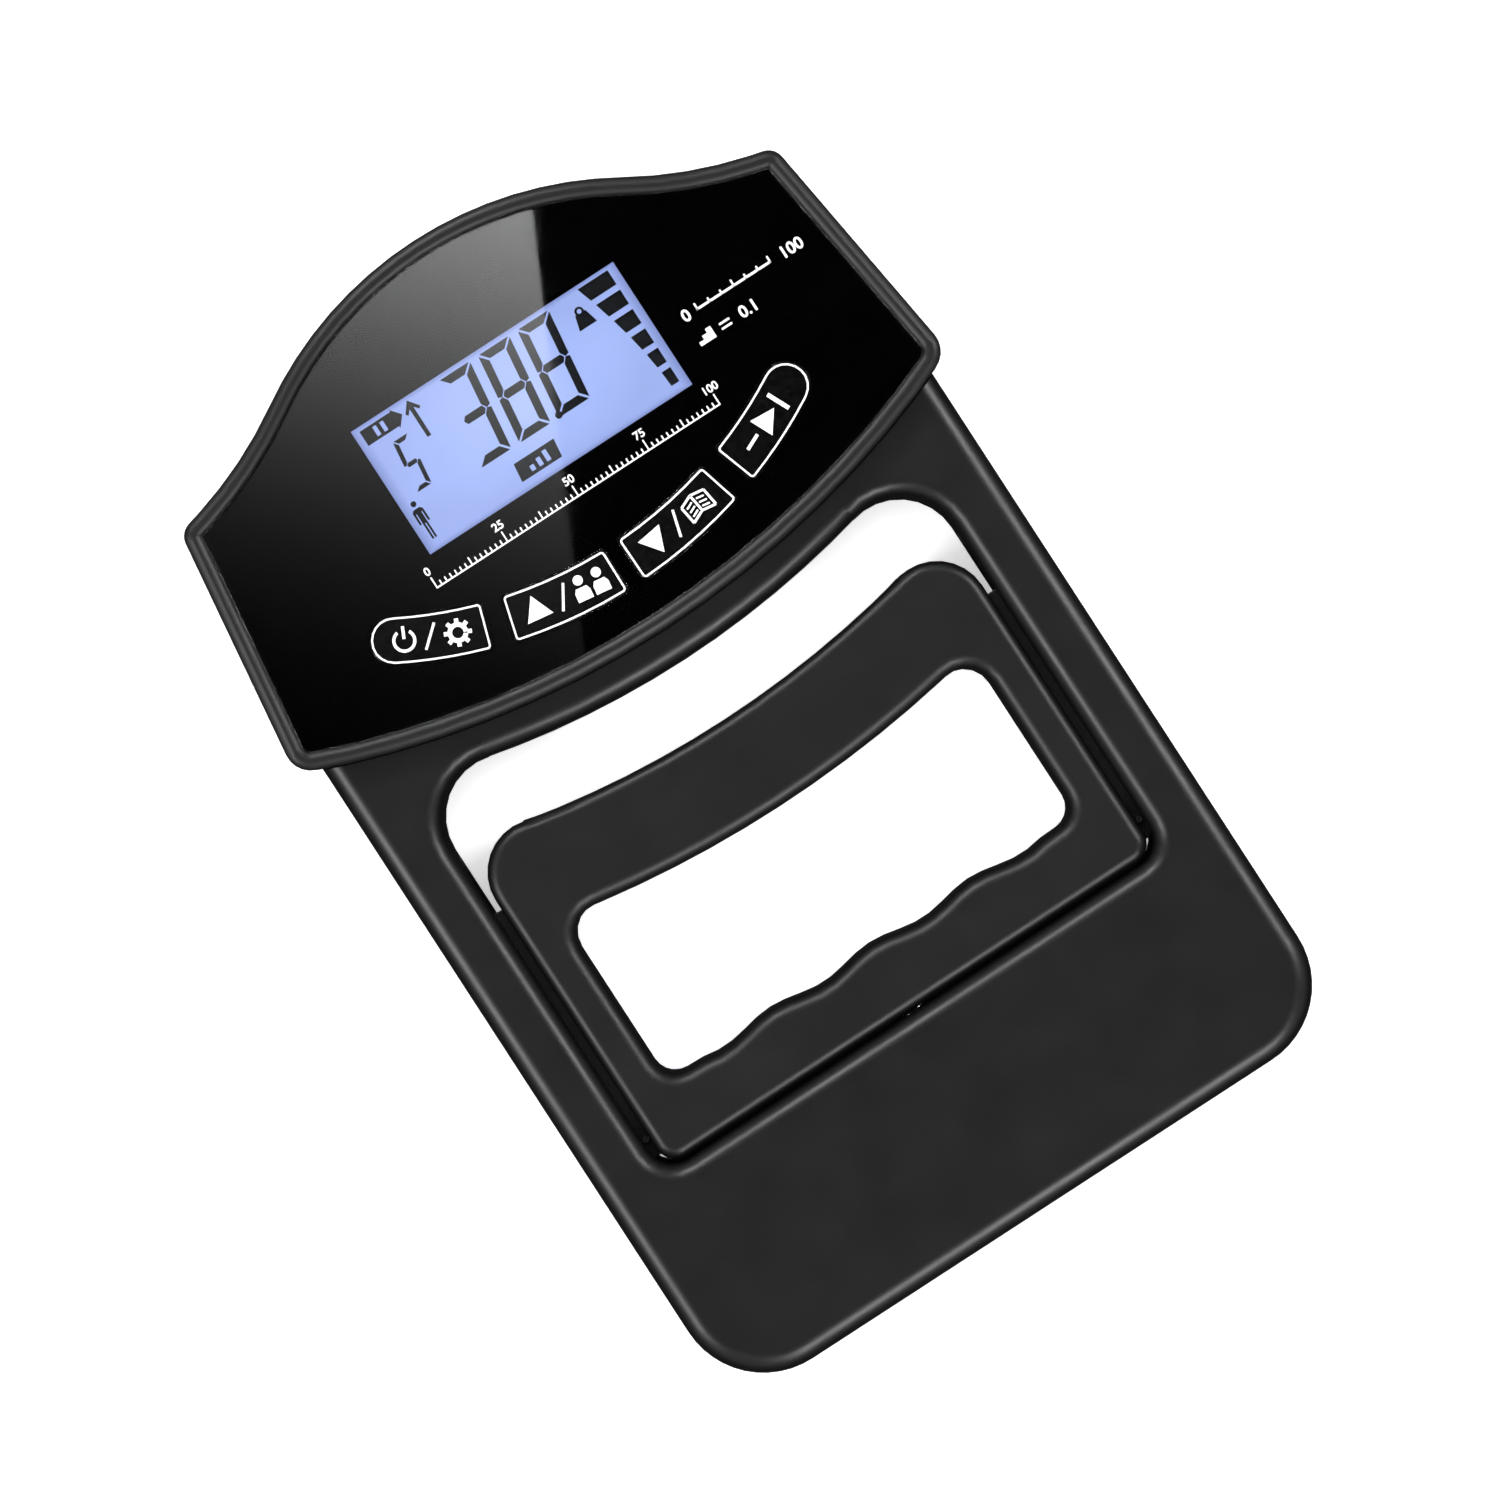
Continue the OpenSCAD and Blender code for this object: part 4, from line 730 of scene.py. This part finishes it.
# Ribs stand between the grooves of the door's finger grip, with an arrow above that shows which way it pulls
door_face = door_low.z - back_mark_rise
door_marks = []
for k in range(6):
    y = door_low.y + (5.1 + 1.6 * k) * mm
    door_marks.append(bar((-7.6 * mm, y), (7.6 * mm, y), 0.5 * mm, door_face, back_mark_depth))
door_marks.append(plate([(-2.2 * mm, door_low.y + 17.4 * mm), (2.2 * mm, door_low.y + 17.4 * mm),
                         (0, door_low.y + 15 * mm)], door_face, back_mark_depth))
door_grip = joined("battery_door_ribs", door_marks)
fit(wear(ease(door_grip, 0.08 * mm), case_plastic), "battery_door")

# Two long rules and three short ones, printed on the plate: (left, right, up from its middle, width)
rules = [(-20, 20, -3.4, 0.25), (-20, 20, 3.4, 0.25)] + [(-16, 6, 1.7 - 1.7 * k, 0.16) for k in range(3)]
plate_lines = []
for left, right, up, width in rules:
    y = plate_mid.y + up * mm
    plate_lines.append(bar((plate_mid.x + left * mm, y), (plate_mid.x + right * mm, y), width * mm,
                           plate_low.z - 0.02 * mm))
fit(wear(joined("rating_plate_rules", plate_lines), chip_plastic), "frame")

# ---- floor and studio ----

bpy.ops.mesh.primitive_plane_add(size=6, location=(0, 0, cad_box[0].z))
floor = bpy.context.object
floor.name = floor.data.name = "studio_floor"
edit_faces(floor, lambda centre, normal: True)
bpy.ops.mesh.subdivide(number_cuts=4)
close(floor)
# A lit table of white opal acrylic: it stays white in the windows, where the frame shades it
table, tree, shader, place = finish("lit_white_table", Roughness=0.9, Specular_IOR_Level=0.1,
                                    Emission_Strength=0.5)
milk = noise(tree, place, 60 * mm, 3)
opal = blend(tree, milk, (0.3, "#f6f6f6"), (0.7, "#fafafa"))
feed(tree, shader, Base_Color=opal, Emission_Color=opal)
wear(settle(floor), table)
floor.visible_glossy = False

# A lit card above the left of the instrument, which the glossy panel mirrors as a slanting patch of light
card_rise = 600 * mm
card_z = panel_top + card_rise
card_peak = 3.4
fade_way = (-0.73, -0.68, 0)
fade_start, fade_growth = -7.66, -88.7


def mirrored(x, y):
    """Where the camera's ray that meets the panel at x, y in millimetres reaches the card's level."""
    share = card_rise / (camera_at.z - panel_top)
    return ((x * mm) + (x * mm - camera_at.x) * share, (y * mm) + (y * mm - camera_at.y) * share)


edge_top, edge_low = mirrored(21.5, 94), mirrored(-16, 18)
glare = plate([edge_top, edge_low, mirrored(-75, 10), mirrored(-80, 105)], card_z, 0.5 * mm)
glare.name = glare.data.name = "glare_card"
# The card shines brightest by the display's top corner and fades towards the far corner of the head
card_light = bpy.data.materials.new("card_glow")
card_light.use_nodes = True
tree = card_light.node_tree
tree.nodes.clear()
place = add(tree, "TexCoord").outputs["Object"]
bright_at = Vector(mirrored(18, 88) + (0,))
from_bright = add(tree, "VectorMath", {0: place, 1: bright_at}, operation="SUBTRACT").outputs[0]
away = add(tree, "VectorMath", {0: from_bright, 1: fade_way}, operation="DOT_PRODUCT").outputs["Value"]
slope = add(tree, "Math", {0: away, 1: fade_growth, 2: fade_start}, operation="MULTIPLY_ADD").outputs[0]
drop = add(tree, "Math", {0: away, 1: slope}, operation="MULTIPLY").outputs[0]
share = add(tree, "Math", {0: 10.0, 1: drop}, operation="POWER").outputs[0]
strength = add(tree, "Math", {0: share, 1: card_peak}, operation="MULTIPLY").outputs[0]
glowing = add(tree, "Emission", {"Strength": strength})
add(tree, "OutputMaterial", {"Surface": glowing.outputs["Emission"]})
wear(glare, card_light)
glare.visible_camera = glare.visible_diffuse = glare.visible_shadow = False

# Four softboxes round the table draw the lines of light along the round edges
box_out, box_up, box_wide, box_long, box_power = 0.74, 0.62, 0.34, 0.24, 4.2


def softbox(name, spot, width, length, power):
    """An area light at a spot, aimed at the instrument."""
    bpy.ops.object.light_add(type="AREA", location=spot)
    lamp = bpy.context.object
    lamp.name = "softbox_" + name
    lamp.data.shape = "RECTANGLE"
    lamp.data.size, lamp.data.size_y = width, length
    lamp.data.energy = power
    lamp.rotation_euler = (-spot).to_track_quat("-Z", "Y").to_euler()
    return lamp


for name, turn in (("head", 90), ("foot", 270), ("right", 0), ("left", 180)):
    spot = Vector((box_out * cos(radians(turn)), box_out * sin(radians(turn)), box_up))
    softbox(name, spot, box_wide, box_long, box_power)
# A wide light overhead whitens the table, and leaves no mirror image on the glossy panel
overhead = softbox("overhead", Vector((0, 0, 1.7)), 1.2, 1.2, 22)
overhead.visible_glossy = overhead.visible_transmission = False

# The room: dark below the table, bright at its horizon and dark again straight up, so flats stay black
world = bpy.data.worlds.new("studio")
bpy.context.scene.world = world
world.use_nodes = True
tree = world.node_tree
tree.nodes.clear()
rise = add(tree, "SeparateXYZ", {0: add(tree, "TexCoord").outputs["Generated"]}).outputs["Z"]
sky = blend(tree, between(tree, rise, 0, 1, -0.2, 1), (0.0, "#1c1c1c"), (0.17, "#2c2c2c"), (0.26, "#e0e0e0"),
            (0.5, "#b0b0b0"), (0.84, "#3c3c3c"), (1.0, "#0c0c0c"))
add(tree, "OutputWorld", {"Surface": add(tree, "Background", {"Color": sky, "Strength": 0.74}).outputs[0]})
bpy.context.scene.view_settings.view_transform = "Standard"
